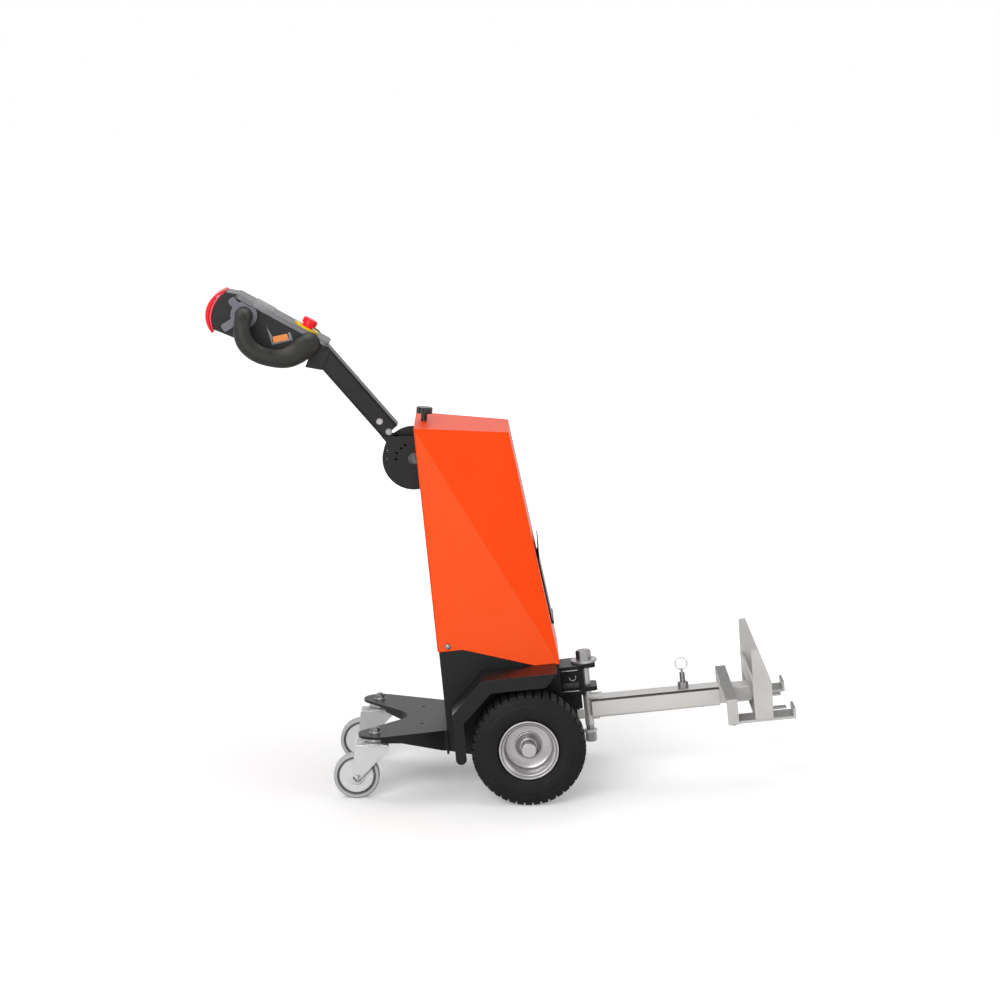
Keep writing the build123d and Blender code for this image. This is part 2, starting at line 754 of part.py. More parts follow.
def thumb_levers():
    """Winged drive lever round the root of each grip."""
    x, z = -grip_back, -grip_down
    outer = Pos(x, z) * Circle(lever_radius)
    # Columns: direction of a wing, its reach
    for angle, reach in ((157.0, upper_wing_reach), (242.0, lower_wing_reach)):
        wing = Location((x, z), (0, 0, angle)) * (Pos(reach / 2, 0) * Rectangle(reach, wing_width))
        outer = outer + fillet(wing.vertices(), wing_corner)
    outer = outer - Pos(x, z) * Circle(grip_radius + seat_gap)
    outer = outer - Pos(x, -head_panel - seat_gap) * Rectangle(head_length, head_drop,
                                                               align=(Align.CENTER, Align.MIN))
    face = Plane((0, head_body_half, 0), x_dir=(1, 0, 0), z_dir=(0, -1, 0)) * outer
    lever = extrude(face, amount=lever_thickness, dir=(0, 1, 0))
    return both_sides(lever)


def horn_buttons():
    """Rocker button on each side of the hand control."""
    pad = fillet(Rectangle(34, 14).vertices(), 3.0)
    face = Plane((0, head_body_half, 0), x_dir=(1, 0, 0), z_dir=(0, -1, 0)) * (
        Location((-100, -42), (0, 0, 41)) * pad)
    return both_sides(extrude(face, amount=4.0, dir=(0, 1, 0)))


def stop_ring():
    """Round collar below the stop button."""
    ring = Cylinder(stop_ring_radius, stop_ring_height, align=middle)
    ring = fillet(ring.edges().group_by(Axis.Z)[-1], 1.5)
    return Pos(-stop_back, 0, 0) * ring


def stop_button():
    """Mushroom stop button."""
    base = Pos(-stop_back, 0, stop_ring_height)
    stem = Cylinder(stop_button_radius * 0.75, 6.0, align=middle)
    cap = Pos(0, 0, 6.0) * Cylinder(stop_button_radius, stop_button_height - 6.0, align=middle)
    cap = fillet(cap.edges().group_by(Axis.Z)[-1], 4.0)
    return base * (stem + cap)


def transaxle():
    """Gear case, motor and axle tubes of the drive."""
    case = cross_rod(gear_case_radius, 0, 0, -gear_case_half, gear_case_half)
    tube = cross_rod(axle_tube_radius, 0, 0, -axle_tube_reach, axle_tube_reach)
    motor = rod(motor_radius, (motor_rear, 0, motor_height), (0, 0, motor_height))
    return case + tube + motor


def axle_stubs():
    """Wheel stub and round end cap at each end of the axle tubes."""
    outer = tyre_outer_side - flange_inset
    seat = outer - hub_collar_depth + seat_gap
    stub = cross_rod(axle_radius, 0, 0, axle_tube_reach, seat + axle_cap_stand)
    collar = cross_rod(axle_collar_radius, 0, 0, axle_tube_reach,
                       axle_tube_reach + axle_collar - seat_gap)
    cap = cross_rod(axle_cap_radius, 0, 0, seat, outer + axle_cap_stand)
    cap = chamfer(cap.edges().group_by(Axis.Y)[-1], axle_cap_chamfer)
    return both_sides(stub + collar + cap)


def hitch_bracket():
    """Box of two plates and webs that carries the kingpin."""
    tongue = hitch_tongue_half
    tip = hitch_tongue_end
    edge = [(chassis_front, hitch_half), (hitch_box_end, hitch_half), (hitch_box_end + 14, tongue),
            (tip - 6, tongue), (tip, tongue - 6)]
    plan = Polyline(*edge, *[(x, -y) for x, y in reversed(edge)], close=True)
    plate = extrude(make_face(plan), amount=hitch_plate)
    plate = plate - Pos(kingpin_ahead, 0, -1) * Cylinder(kingpin_radius + seat_gap / 2, hitch_plate + 2,
                                                         align=middle)
    shape = Pos(0, 0, hitch_upper) * plate + Pos(0, 0, hitch_lower) * plate
    for side in (-1, 1):
        span = sorted((side * (tongue - 2), side * (tongue - 2 - hitch_web)))
        shape = shape + block((chassis_front, hitch_web_end), span,
                              (hitch_lower - hitch_web_drop, hitch_upper))
    return shape


def kingpin():
    """Vertical pivot pin with its washers and nuts."""
    top = hitch_upper + hitch_plate
    foot = bush_foot - 10.0
    low = foot - thin_nut_height - lock_nut_height
    pin = Pos(0, 0, low) * Cylinder(kingpin_radius, top - low, align=middle)
    pin = pin + Pos(0, 0, hitch_lower + hitch_plate) * Cylinder(bush_radius, hitch_upper - hitch_lower
                                                                - hitch_plate, align=middle)
    pin = pin + Pos(0, 0, top) * Cylinder(head_washer_radius, head_washer, align=middle)
    pin = pin + Pos(0, 0, top + head_washer) * nut(kingpin_nut_flats, kingpin_nut_height)
    pin = pin + Pos(0, 0, foot) * Cylinder(9.0, 10.0 - seat_gap, align=middle)
    pin = pin + Pos(0, 0, foot) * mirror(nut(thin_nut_flats, thin_nut_height), Plane.XY)
    lock_nut = mirror(nut(lock_nut_flats, lock_nut_height), Plane.XY)
    pin = pin + Pos(0, 0, foot - thin_nut_height) * lock_nut
    return Pos(kingpin_ahead, 0, 0) * pin


def drawbar_tube():
    """Outer drawbar tube with the pivot bush and its lugs."""
    centre = drawbar_foot + drawbar_height / 2
    tube = box_tube((drawbar_rear, drawbar_front), drawbar_width, drawbar_height, drawbar_corner,
                    drawbar_wall, centre)
    end = block((drawbar_rear, drawbar_rear + 4), (-drawbar_width / 2 + 2, drawbar_width / 2 - 2),
                (drawbar_foot + 2, drawbar_foot + drawbar_height - 2))
    bush = rod(bush_radius, (kingpin_ahead, 0, bush_foot), (kingpin_ahead, 0, hitch_lower - seat_gap))
    lug = block((drawbar_rear, drawbar_rear + 16), (-5, 5), (drawbar_foot - 8, drawbar_foot + 1))
    stop = block((kingpin_ahead - 26, kingpin_ahead), (-5, 5), (0, 20))
    top = drawbar_foot + drawbar_height
    ear = block((kingpin_ahead, kingpin_ahead + 34), (-9, 9), (top - 1, top + 8))
    shape = tube + end + bush + lug + stop + ear
    shape = shape - rod(kingpin_radius + running_gap, (kingpin_ahead, 0, bush_foot - 1),
                        (kingpin_ahead, 0, hitch_lower + 1))
    return shape - rod(plunger_pin_radius + seat_gap / 2, (plunger_ahead, 0, centre),
                       (plunger_ahead, 0, top + 1))


def index_plunger():
    """Spring plunger with a pull ring, drawn clear of the inner tube."""
    top = drawbar_foot + drawbar_height
    base = nut(plunger_flats, plunger_base_height)
    barrel = Cylinder(plunger_radius, plunger_base_height + plunger_barrel_height, align=middle)
    tip_foot = plunger_base_height + plunger_barrel_height
    tip = Pos(0, 0, tip_foot) * Cylinder(2.0, plunger_tip, align=middle)
    pin = Pos(0, 0, -drawbar_wall) * Cylinder(plunger_pin_radius, drawbar_wall, align=middle)
    ring_centre = tip_foot + plunger_tip - 2.0 + plunger_ring_radius
    ring = Location((0, 0, ring_centre), (90, 0, 0)) * Torus(plunger_ring_radius, plunger_ring_wire)
    return Pos(plunger_ahead, 0, top) * (base + barrel + tip + pin + ring)


def inner_height():
    """Outer height of the sliding tube."""
    return drawbar_height - 2 * drawbar_wall - 2 * inner_gap


def inner_tube():
    """Sliding tube with index holes in its top wall."""
    centre = drawbar_foot + drawbar_height / 2
    width = drawbar_width - 2 * drawbar_wall - 2 * inner_gap
    tube = box_tube((cross_bar_rear - inner_tail, prong_rear + prong_thickness), width, inner_height(),
                    drawbar_corner - drawbar_wall, inner_wall, centre)
    for step in range(index_steps + 1):
        x = plunger_ahead - step * index_step
        if x > cross_bar_rear - inner_tail + 10:
            tube = tube - rod(plunger_pin_radius + seat_gap, (x, 0, centre), (x, 0, centre + 60))
    return tube


def coupler_top():
    """Height of the sliding tube's top face."""
    return drawbar_foot + drawbar_height / 2 + inner_height() / 2


def cross_bar():
    """Flat bar over the sliding tube with a leg bent down at each end."""
    top = coupler_top()
    x = (cross_bar_rear, cross_bar_rear + cross_bar_width)
    half = cross_bar_half
    bar = block(x, (-half, half), (top, top + cross_bar_thickness))
    for side in (-1, 1):
        span = sorted((side * half, side * (half - cross_bar_thickness)))
        bar = bar + block(x, span, (rail_foot, top))
    return bar


def coupler_base():
    """Rails, tines and their cross plate in one flat weldment."""
    rail_out = cross_bar_half - cross_bar_thickness
    z = (rail_foot, rail_foot + rail_thickness)
    base = block((base_rear, base_front), (-rail_inner, rail_inner), z)
    lip_top = z[1] + rail_lip_height
    for side in (-1, 1):
        rail = sorted((side * rail_inner, side * rail_out))
        tine = sorted((side * tine_inner, side * tine_outer))
        base = base + block((cross_bar_rear + cross_bar_width / 2, rail_front), rail, z)
        base = base + block((rail_front - rail_thickness, rail_front), rail, (z[0], lip_top))
        base = base + block((base_front - 1, tine_front), tine, (z[0] + 2, z[1]))
    return base


def coupler_prongs():
    """Tapered upright plate on each rail."""
    foot = rail_foot + rail_thickness
    outline = [(prong_rear, foot), (prong_rear, foot + 48), (prong_rear + 3.5, prong_height),
               (prong_rear + 3.5 + prong_top_width, prong_height),
               (prong_rear + prong_base_width + 3, prong_shoulder),
               (prong_rear + prong_base_width, foot)]
    out = cross_bar_half - 2.0
    plate = side_prism(outline, out - prong_thickness, out)
    return both_sides(plate)


def stop_plate():
    """Cross plate between the prongs, on top of the sliding tube."""
    half = cross_bar_half - 2.0 - prong_thickness
    return block((prong_rear, prong_rear + 6), (-half, half), (coupler_top(), stop_plate_top))


def rear_plate():
    """Rear plate of the chassis."""
    half = chassis_half - side_plate
    return block((chassis_rear, chassis_rear + end_plate), (-half, half),
                 (chassis_rear_floor, chassis_top_rear))


def front_plate():
    """Front plate of the chassis."""
    half = chassis_half - side_plate
    return block((chassis_front - end_plate, chassis_front), (-half, half),
                 (chassis_floor + 34, cover_low_front - 1))


def deck_plate():
    """Deck that carries the battery and the tiller post."""
    half = chassis_half - side_plate
    return block((chassis_rear + end_plate, chassis_front - end_plate), (-half, half),
                 (deck_height, deck_height + end_plate))


def battery_pack():
    """Battery block on the deck, between the tiller's column and the cover's sloping front."""
    foot = deck_height + end_plate
    top = foot + battery_height
    rear = chassis_rear + end_plate + post_stand + post_width + battery_gap
    front = cover_front(top) - cover_wall - battery_gap
    return block((rear, front), (-battery_half, battery_half), (foot, top))


nodes = {}


def raked(name, shape):
    nodes[name] = chassis_frame * shape


raked("side_plates", side_plates())
raked("rear_plate", rear_plate())
raked("front_plate", front_plate())
raked("deck_plate", deck_plate())
raked("fenders", fenders())
raked("body_cover", body_cover())
raked("lip_panel", lip_panel())
raked("top_knob", top_knob())
raked("battery_pack", battery_pack())
raked("transaxle", transaxle())
raked("axle_stubs", axle_stubs())
raked("tiller_post", tiller_post())
raked("tiller_pin", tiller_pin())
raked("hitch_bracket", hitch_bracket())
raked("kingpin", kingpin())
raked("drawbar_tube", drawbar_tube())
raked("index_plunger", index_plunger())
raked("inner_tube", inner_tube())
raked("cross_bar", cross_bar())
raked("coupler_base", coupler_base())
raked("coupler_prongs", coupler_prongs())
raked("stop_plate", stop_plate())

nodes["tiller_arm"] = tiller_frame * tiller_arm()
for name, shape in (("head_bracket", head_bracket()), ("tiller_head", tiller_head()),
                    ("belly_switch", belly_switch()), ("hand_grips", hand_grips()),
                    ("thumb_levers", thumb_levers()), ("horn_buttons", horn_buttons()),
                    ("stop_ring", stop_ring()), ("stop_button", stop_button())):
    nodes[name] = head_frame * shape

# The castor plate ends in a flange that stands flush on the raked rear plate.
rake = radians(chassis_rake)
flange_top = (plate_top - tyre_radius - chassis_rear * sin(rake)) / cos(rake)
flange = chassis_frame * block((chassis_rear - plate_flange, chassis_rear),
                               (-plate_front_half, plate_front_half),
                               (flange_top - plate_web_depth - 8.0, flange_top - 1.0))
rear_face = chassis_frame * block((chassis_rear, chassis_front), (-400, 400), (-400, 400))
nodes["castor_plate"] = Pos(axle_ahead, 0, 0) * castor_plate() - rear_face + flange

swivel = Pos(axle_ahead - swivel_behind_axle, swivel_side, 0)
nodes["castor_stems"] = both_sides(swivel * castor_stem())

tread, core = castor_wheel_parts()
rim = Pos(0, tyre_outer_side - tyre_width / 2, 0) * drive_rim()
tyre = Pos(0, tyre_outer_side - tyre_width / 2, 0) * drive_tyre()
axle = Pos(axle_ahead, 0, tyre_radius)
castor_centre = swivel * Pos(-castor_trail, 0, castor_wheel_radius)
for name, shape in (("tyre", axle * tyre), ("rim", axle * rim), ("castor_fork", swivel * castor_fork()),
                    ("castor_axle", swivel * castor_axle()), ("castor_tread", castor_centre * tread),
                    ("castor_core", castor_centre * core)):
    nodes[name + "_left"] = shape
    nodes[name + "_right"] = mirror(shape, Plane.XZ)

os.makedirs("parts", exist_ok=True)
for name, shape in nodes.items():
    export_step(shape, f"parts/{name}.step")
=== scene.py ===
"""Looks of a walk-behind electric tug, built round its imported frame.

Lengths are metres. Three frames carry the sizes: the raked chassis, whose origin is on the
drive axle, the tiller, whose arm runs along its -X, and the hand control at the arm's end.
"""

import logging
import math
from dataclasses import dataclass, field
from enum import Enum
from typing import Callable, Iterable, Sequence

import bmesh
import bpy
from mathutils import Matrix, Vector


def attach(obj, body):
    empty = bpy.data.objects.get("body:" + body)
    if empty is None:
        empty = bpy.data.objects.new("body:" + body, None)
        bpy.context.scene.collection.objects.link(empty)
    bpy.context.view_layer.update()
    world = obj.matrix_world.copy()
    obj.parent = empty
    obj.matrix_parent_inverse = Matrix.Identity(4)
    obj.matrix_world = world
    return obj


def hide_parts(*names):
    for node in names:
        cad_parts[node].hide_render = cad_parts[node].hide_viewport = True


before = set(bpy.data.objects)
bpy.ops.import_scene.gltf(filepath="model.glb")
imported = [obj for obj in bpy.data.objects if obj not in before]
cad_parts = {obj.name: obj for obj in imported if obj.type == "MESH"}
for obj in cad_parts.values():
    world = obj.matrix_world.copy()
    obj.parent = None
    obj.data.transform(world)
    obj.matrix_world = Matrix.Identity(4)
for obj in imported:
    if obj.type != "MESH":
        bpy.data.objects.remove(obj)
log = logging.getLogger("tug")

MM = 0.001
WELD = 2e-6
MERGE = 1e-4
FLAT_TURN = 0.05
LEAST_BROKEN_TURN = 18.0
PRISM_TURN = 40.0
SHARP_TURN = 32.0
ROUND_TURN = 30.0
RUN_SHARE = 0.45
BROKEN = {"segments": 2, "profile": 0.6, "affect": "EDGES"}

Flat = tuple[float, float]
Point = tuple[float, float, float]
Colour = tuple[float, float, float, float]
Sockets = dict[str, bpy.types.NodeSocket]

WHITE: Colour = (1.0, 1.0, 1.0, 1.0)
# Colour of dust, which on the grip also stands as painted light on its tops
DUST_AND_LIGHT_COLOUR: Colour = (0.36, 0.34, 0.31, 1.0)


def srgb(red: int, green: int, blue: int) -> Colour:
    """Turns 8-bit display values into a scene colour.

    Args:
        red: red from 0 to 255.
        green: green from 0 to 255.
        blue: blue from 0 to 255.

    Returns:
        The linear colour with an alpha of 1.
    """
    def lin(value: int) -> float:
        """Linear value of one channel."""
        share = value / 255
        return share / 12.92 if share <= 0.04045 else ((share + 0.055) / 1.055) ** 2.4

    return lin(red), lin(green), lin(blue), 1.0


def turn_y(degrees: float) -> Matrix:
    """Rotation about Y by an angle in degrees."""
    return Matrix.Rotation(math.radians(degrees), 4, "Y")


def grey(value: float) -> Colour:
    """Linear grey with an alpha of 1."""
    return value, value, value, 1.0


TURN_UP = Matrix.Rotation(math.radians(90), 4, "X")


@dataclass(frozen=True)
class Frames:
    """The three frames of the machine, as its drawings use them."""

    axle_ahead: float = 58.6
    axle_height: float = 127.0
    rake: float = 5.8
    pivot_ahead: float = -191.4
    pivot_height: float = 638.7
    tiller_angle: float = 54.9
    arm_length: float = 318.0
    head_lift: float = 31.0
    head_bend: float = 20.4

    def axle(self) -> Matrix:
        """Level frame on the drive axle, in millimetres."""
        return Matrix.Translation((self.axle_ahead, 0, self.axle_height))

    def chassis(self) -> Matrix:
        """Frame of chassis, cover and drawbar, in millimetres."""
        return self.axle() @ turn_y(-self.rake)

    def tiller(self) -> Matrix:
        """Frame of the tiller arm, in millimetres."""
        place = Matrix.Translation((self.pivot_ahead, 0, self.pivot_height))
        return self.chassis() @ place @ turn_y(self.tiller_angle)

    def head(self) -> Matrix:
        """Frame of the hand control, in millimetres."""
        place = Matrix.Translation((-self.arm_length, 0, self.head_lift))
        return self.tiller() @ place @ turn_y(-self.head_bend)

    def floor(self) -> Matrix:
        """Level frame on the floor below the drive axle, in millimetres."""
        return Matrix.Translation((self.axle_ahead, 0, 0))


FRAMES = Frames()


class Side(Enum):
    """Sides of the machine, with the sign of Y."""

    LEFT = 1
    RIGHT = -1

    @property
    def word(self) -> str:
        """Name used in nodes and bodies."""
        return self.name.lower()


class Graph:
    """Short way to add and join shader or geometry nodes."""

    def __init__(self, tree: bpy.types.NodeTree) -> None:
        """Wraps a node tree."""
        self.tree = tree

    def add(self, kind: str, values: dict[int | str, object] | None = None,
            **settings: object) -> bpy.types.Node:
        """Adds a node.

        Args:
            kind: the node's type name.
            values: input sockets, by name or number, and their value or the socket to link.
            settings: properties of the node.

        Returns:
            The new node.
        """
        node = self.tree.nodes.new(kind)
        for name, value in settings.items():
            setattr(node, name, value)
        for name, value in (values or {}).items():
            if isinstance(value, bpy.types.NodeSocket):
                self.tree.links.new(value, node.inputs[name])
            else:
                node.inputs[name].default_value = value
        return node

    def math(self, operation: str, first: object, second: object = 0.0, third: object = 0.0,
             clamp: bool = False) -> bpy.types.NodeSocket:
        """Result of a Math node."""
        node = self.add("ShaderNodeMath", {0: first, 1: second, 2: third}, operation=operation,
                        use_clamp=clamp)
        return node.outputs[0]

    def ramp(self, value: bpy.types.NodeSocket, low: float, high: float) -> bpy.types.NodeSocket:
        """Value stretched so that low gives 0 and high gives 1."""
        ends = {"Value": value, "From Min": low, "From Max": high}
        return self.add("ShaderNodeMapRange", ends).outputs[0]

    def noise(self, place: bpy.types.NodeSocket, scale: object,
              detail: float) -> bpy.types.NodeSocket:
        """Value of a Noise Texture node."""
        values = {"Vector": place, "Scale": scale, "Detail": detail}
        return self.add("ShaderNodeTexNoise", values).outputs[0]

    def mix(self, factor: bpy.types.NodeSocket, first: object,
            second: object) -> bpy.types.NodeSocket:
        """Colour between two colours."""
        node = self.add("ShaderNodeMix", data_type="RGBA")
        for name, value in (("Factor", factor), ("A", first), ("B", second)):
            socket = next(s for s in node.inputs if s.name == name and s.enabled)
            if isinstance(value, bpy.types.NodeSocket):
                self.tree.links.new(value, socket)
            else:
                socket.default_value = value
        return next(s for s in node.outputs if s.enabled)


@dataclass(frozen=True)
class Effect:
    """A shader node group that several finishes share."""

    name: str
    inputs: dict[str, float]
    outputs: tuple[str, ...]
    build: Callable[[Graph, Sockets], Sockets]

    def tree(self) -> bpy.types.NodeTree:
        """Builds the node group once and hands it back on later calls."""
        found = bpy.data.node_groups.get(self.name)
        if found:
            return found
        tree = bpy.data.node_groups.new(self.name, "ShaderNodeTree")
        for label, value in self.inputs.items():
            socket = tree.interface.new_socket(name=label, in_out="INPUT",
                                               socket_type="NodeSocketFloat")
            socket.default_value = value
        for label in self.outputs:
            tree.interface.new_socket(name=label, in_out="OUTPUT", socket_type="NodeSocketFloat")
        graph = Graph(tree)
        given = graph.add("NodeGroupInput")
        graph.add("NodeGroupOutput",
                  self.build(graph, {label: given.outputs[label] for label in self.inputs}))
        return tree

    def place(self, graph: Graph, values: dict[str, float]) -> Sockets:
        """Puts the group into a material.

        Args:
            graph: graph of the material.
            values: values of the group's inputs.

        Returns:
            The group's outputs by name.
        """
        node = graph.add("ShaderNodeGroup", node_tree=self.tree())
        for label, value in values.items():
            node.inputs[label].default_value = value
        return {label: node.outputs[label] for label in self.outputs}


# Each span gives the value at which a mask starts and the value at which it is full
CLOUD_SPAN = (0.35, 0.68)
LINE_SPAN = (0.35, 0.65)
EDGE_COSINES = (0.995, 0.86)
EDGE_PATCHES = (0.42, 0.62)
EDGE_PATCH_SCALE = 90.0
DUSTY_HEIGHT = (0.30, 0.0)
# Faces that look up take the dust; on the grip this is painted top light
DUST_AND_LIGHT_UP = (0.2, 1.0)
DUST_AND_LIGHT_PATCHES = (0.38, 0.7)
DUST_AND_LIGHT_SCALE = 35.0
LOW_SHARE = 0.6


def build_grain(graph: Graph, given: Sockets) -> Sockets:
    """Fine grain and broad clouds on object coordinates."""
    place = graph.add("ShaderNodeTexCoord").outputs["Object"]
    fine = graph.noise(place, given["Scale"], 3.0)
    cloud = graph.noise(place, given["Cloud scale"], 4.0)
    return {"Grain": fine, "Cloud": graph.ramp(cloud, *CLOUD_SPAN)}


def build_wear(graph: Graph, given: Sockets) -> Sockets:
    """Mask of rubbed edges, which also paint highlights onto the edges, from the turn of the
    surface within a small radius.
    """
    near = graph.add("ShaderNodeBevel", {"Radius": given["Width"]}, samples=4)
    true = graph.add("ShaderNodeNewGeometry").outputs["Normal"]
    dot = graph.add("ShaderNodeVectorMath", {0: near.outputs[0], 1: true},
                    operation="DOT_PRODUCT")
    edge = graph.ramp(dot.outputs["Value"], *EDGE_COSINES)
    place = graph.add("ShaderNodeTexCoord").outputs["Object"]
    patches = graph.ramp(graph.noise(place, EDGE_PATCH_SCALE, 5.0), *EDGE_PATCHES)
    rubbed_and_glinting = graph.math("MULTIPLY", edge, patches)
    return {"Mask": graph.math("MULTIPLY", rubbed_and_glinting, given["Amount"], clamp=True)}


def build_dust(graph: Graph, given: Sockets) -> Sockets:
    """Mask of fine dust on faces that look up and near the floor; on the grip it is painted light
    that makes the upper faces lighter than the lower.
    """
    geometry = graph.add("ShaderNodeNewGeometry")
    up = graph.add("ShaderNodeSeparateXYZ", {0: geometry.outputs["Normal"]}).outputs["Z"]
    place = graph.add("ShaderNodeTexCoord").outputs["Object"]
    height = graph.add("ShaderNodeSeparateXYZ", {0: place}).outputs["Z"]
    low = graph.math("MULTIPLY", graph.ramp(height, *DUSTY_HEIGHT), LOW_SHARE)
    both = graph.math("ADD", graph.ramp(up, *DUST_AND_LIGHT_UP), low)
    patches = graph.ramp(graph.noise(place, DUST_AND_LIGHT_SCALE, 6.0), *DUST_AND_LIGHT_PATCHES)
    up_and_low_patches = graph.math("MULTIPLY", both, patches)
    return {"Mask": graph.math("MULTIPLY", up_and_low_patches, given["Amount"], clamp=True)}


GRAIN = Effect("surface_grain", {"Scale": 900.0, "Cloud scale": 7.0}, ("Grain", "Cloud"),
               build_grain)
EDGE_WEAR_AND_GLINT = Effect("edge_wear", {"Width": 0.0015, "Amount": 0.5}, ("Mask",), build_wear)
DUST_AND_TOP_LIGHT = Effect("settled_dust", {"Amount": 0.2}, ("Mask",), build_dust)


@dataclass(frozen=True)
class Finish:
    """A surface finish with grain, clouds, brushed lines, rubbed edges that are partly painted edge
    highlights, and dust that on the grip is painted top light.
    """

    name: str
    colour: Colour
    tint: Colour
    roughness: float = 0.4
    metallic: float = 0.0
    grain_scale: float = 900.0
    cloud_scale: float = 7.0
    bump: float = 0.05
    bump_depth: float = 0.0006
    wear: float = 0.0
    wear_colour: Colour = (0.35, 0.35, 0.34, 1.0)
    dust: float = 0.0
    brushed: Point | None = None
    line_shade: float = 0.86
    uneven: float = 0.12
    specular: float = 0.5

    def material(self) -> bpy.types.Material:
        """Builds the material once and hands it back on later calls."""
        label = f"finish_{self.name}"
        found = bpy.data.materials.get(label)
        if found:
            return found
        made = bpy.data.materials.new(label)
        made.use_nodes = True
        graph = Graph(made.node_tree)
        shader = made.node_tree.nodes["Principled BSDF"]
        shader.inputs["Metallic"].default_value = self.metallic
        shader.inputs["Specular IOR Level"].default_value = self.specular
        grain = GRAIN.place(graph, {"Scale": self.grain_scale, "Cloud scale": self.cloud_scale})
        colour = graph.mix(grain["Cloud"], self.colour, self.tint)
        height = grain["Grain"]
        if self.brushed:
            place = graph.add("ShaderNodeTexCoord").outputs["Object"]
            lines = graph.add("ShaderNodeMapping", {"Vector": place, "Scale": self.brushed})
            height = graph.noise(lines.outputs[0], 1.0, 4.0)
            darker = tuple(channel * self.line_shade for channel in self.colour[:3]) + (1.0,)
            colour = graph.mix(graph.ramp(height, *LINE_SPAN), colour, darker)
        rough = graph.math("MULTIPLY_ADD", height, self.uneven, self.roughness - self.uneven / 2)
        # Lighter grey on the edges: partly wear, partly painted edge highlights
        if self.wear:
            rubbed_and_glinting = EDGE_WEAR_AND_GLINT.place(graph, {"Amount": self.wear})["Mask"]
            colour = graph.mix(rubbed_and_glinting, colour, self.wear_colour)
        # Dust on faces that look up; on the grip this is painted light on the tops
        if self.dust:
            dust_and_light_mask = DUST_AND_TOP_LIGHT.place(graph, {"Amount": self.dust})["Mask"]
            colour = graph.mix(dust_and_light_mask, colour, DUST_AND_LIGHT_COLOUR)
        bump = graph.add("ShaderNodeBump", {"Height": height, "Strength": self.bump,
                                            "Distance": self.bump_depth})
        for value, name in ((colour, "Base Color"), (rough, "Roughness"),
                            (bump.outputs[0], "Normal")):
            made.node_tree.links.new(value, shader.inputs[name])
        return made


ORANGE_COAT = Finish("orange_coat", (1.0, 0.074, 0.004, 1.0), (1.0, 0.067, 0.003, 1.0), 0.38,
                     grain_scale=1400.0, bump=0.05, specular=0.14)
# Lighter copy of the orange coat: painted light on the cover's upright lower facet
ORANGE_LIT_FACET = Finish("orange_fold", (1.0, 0.098, 0.016, 1.0), (1.0, 0.090, 0.013, 1.0), 0.38,
                     grain_scale=1400.0, bump=0.05, specular=0.14)
BLACK_COAT = Finish("black_coat", srgb(14, 14, 15), srgb(19, 19, 20), 0.36, grain_scale=2200.0,
                    bump=0.14, wear=0.2, dust=0.02, specular=0.2)
ARM_COAT = Finish("arm_coat", srgb(18, 18, 19), srgb(23, 23, 24), 0.36, grain_scale=2200.0,
                  bump=0.14, wear=0.2, specular=0.19)
RIM_PAINT = Finish("rim_paint", srgb(184, 181, 182), srgb(174, 171, 172), 0.27, metallic=0.6,
                   grain_scale=1600.0, bump=0.03, dust=0.03)
# Darker copy of the rim paint: painted shade inside the hub pocket
POCKET_SHADE = Finish("pocket_paint", srgb(138, 135, 136), srgb(116, 114, 115), 0.34, metallic=0.6,
                      grain_scale=1600.0, bump=0.06, dust=0.05)
CAP_STEEL = Finish("cap_steel", srgb(186, 184, 185), srgb(172, 170, 171), 0.24, metallic=0.7,
                   bump=0.04, brushed=(700.0, 700.0, 700.0))
STAINLESS = Finish("stainless", srgb(204, 202, 199), srgb(196, 194, 192), 0.36, metallic=0.5,
                   bump=0.05, brushed=(8.0, 900.0, 900.0))
SHEET_STEEL = Finish("sheet_steel", srgb(188, 186, 184), srgb(178, 176, 174), 0.38, metallic=0.5,
                     bump=0.04, cloud_scale=12.0, grain_scale=1300.0)
# Darker copy of the sheet steel: painted shade on the up-facing tops of cross bar and coupler base
RAIL_TOP_SHADE = Finish("rail_top", srgb(124, 123, 122), srgb(106, 105, 104), 0.44, metallic=0.4,
                  bump=0.06, cloud_scale=18.0)
# Dark copy of the stainless: painted reflection along the tube's upper rounded corners
TUBE_EDGE_REFLECTION = Finish("tube_edge", srgb(70, 69, 68), srgb(54, 53, 52), 0.36, metallic=0.6,
                   bump=0.03, brushed=(8.0, 900.0, 900.0))
# Grey band on the black hitch: painted light standing for the lit top of its lower plate
LIT_BAND_GREY = Finish("seam_steel", srgb(74, 74, 74), srgb(48, 48, 48), 0.5, metallic=0.3,
                    bump=0.5, cloud_scale=140.0, grain_scale=700.0)
ZINC = Finish("zinc_plate", srgb(196, 197, 197), srgb(180, 181, 181), 0.36, metallic=0.5,
              cloud_scale=9.0, grain_scale=1500.0, bump=0.04)
NUT_STEEL = Finish("nut_steel", srgb(150, 147, 149), srgb(128, 126, 128), 0.3, metallic=0.8,
                   cloud_scale=40.0, bump=0.06)
DARK_STEEL = Finish("dark_steel", srgb(84, 84, 86), srgb(62, 62, 64), 0.32, metallic=0.8,
                    cloud_scale=40.0, bump=0.06)
DRIVE_IRON = Finish("drive_iron", srgb(44, 44, 46), srgb(36, 36, 38), 0.6, metallic=0.3,
                    grain_scale=500.0, bump=0.5, dust=0.1)
TYRE_RUBBER = Finish("tyre_rubber", srgb(22, 22, 23), srgb(28, 28, 28), 0.6, grain_scale=700.0,
                     cloud_scale=16.0, bump=0.22, dust=0.02, specular=0.14)
CASTOR_TREAD = Finish("castor_tread", srgb(180, 181, 181), srgb(168, 169, 169), 0.46,
                      grain_scale=800.0, bump=0.08, dust=0.04)
CASTOR_CORE = Finish("castor_core", srgb(216, 217, 217), srgb(207, 208, 208), 0.42,
                     grain_scale=800.0, bump=0.06)
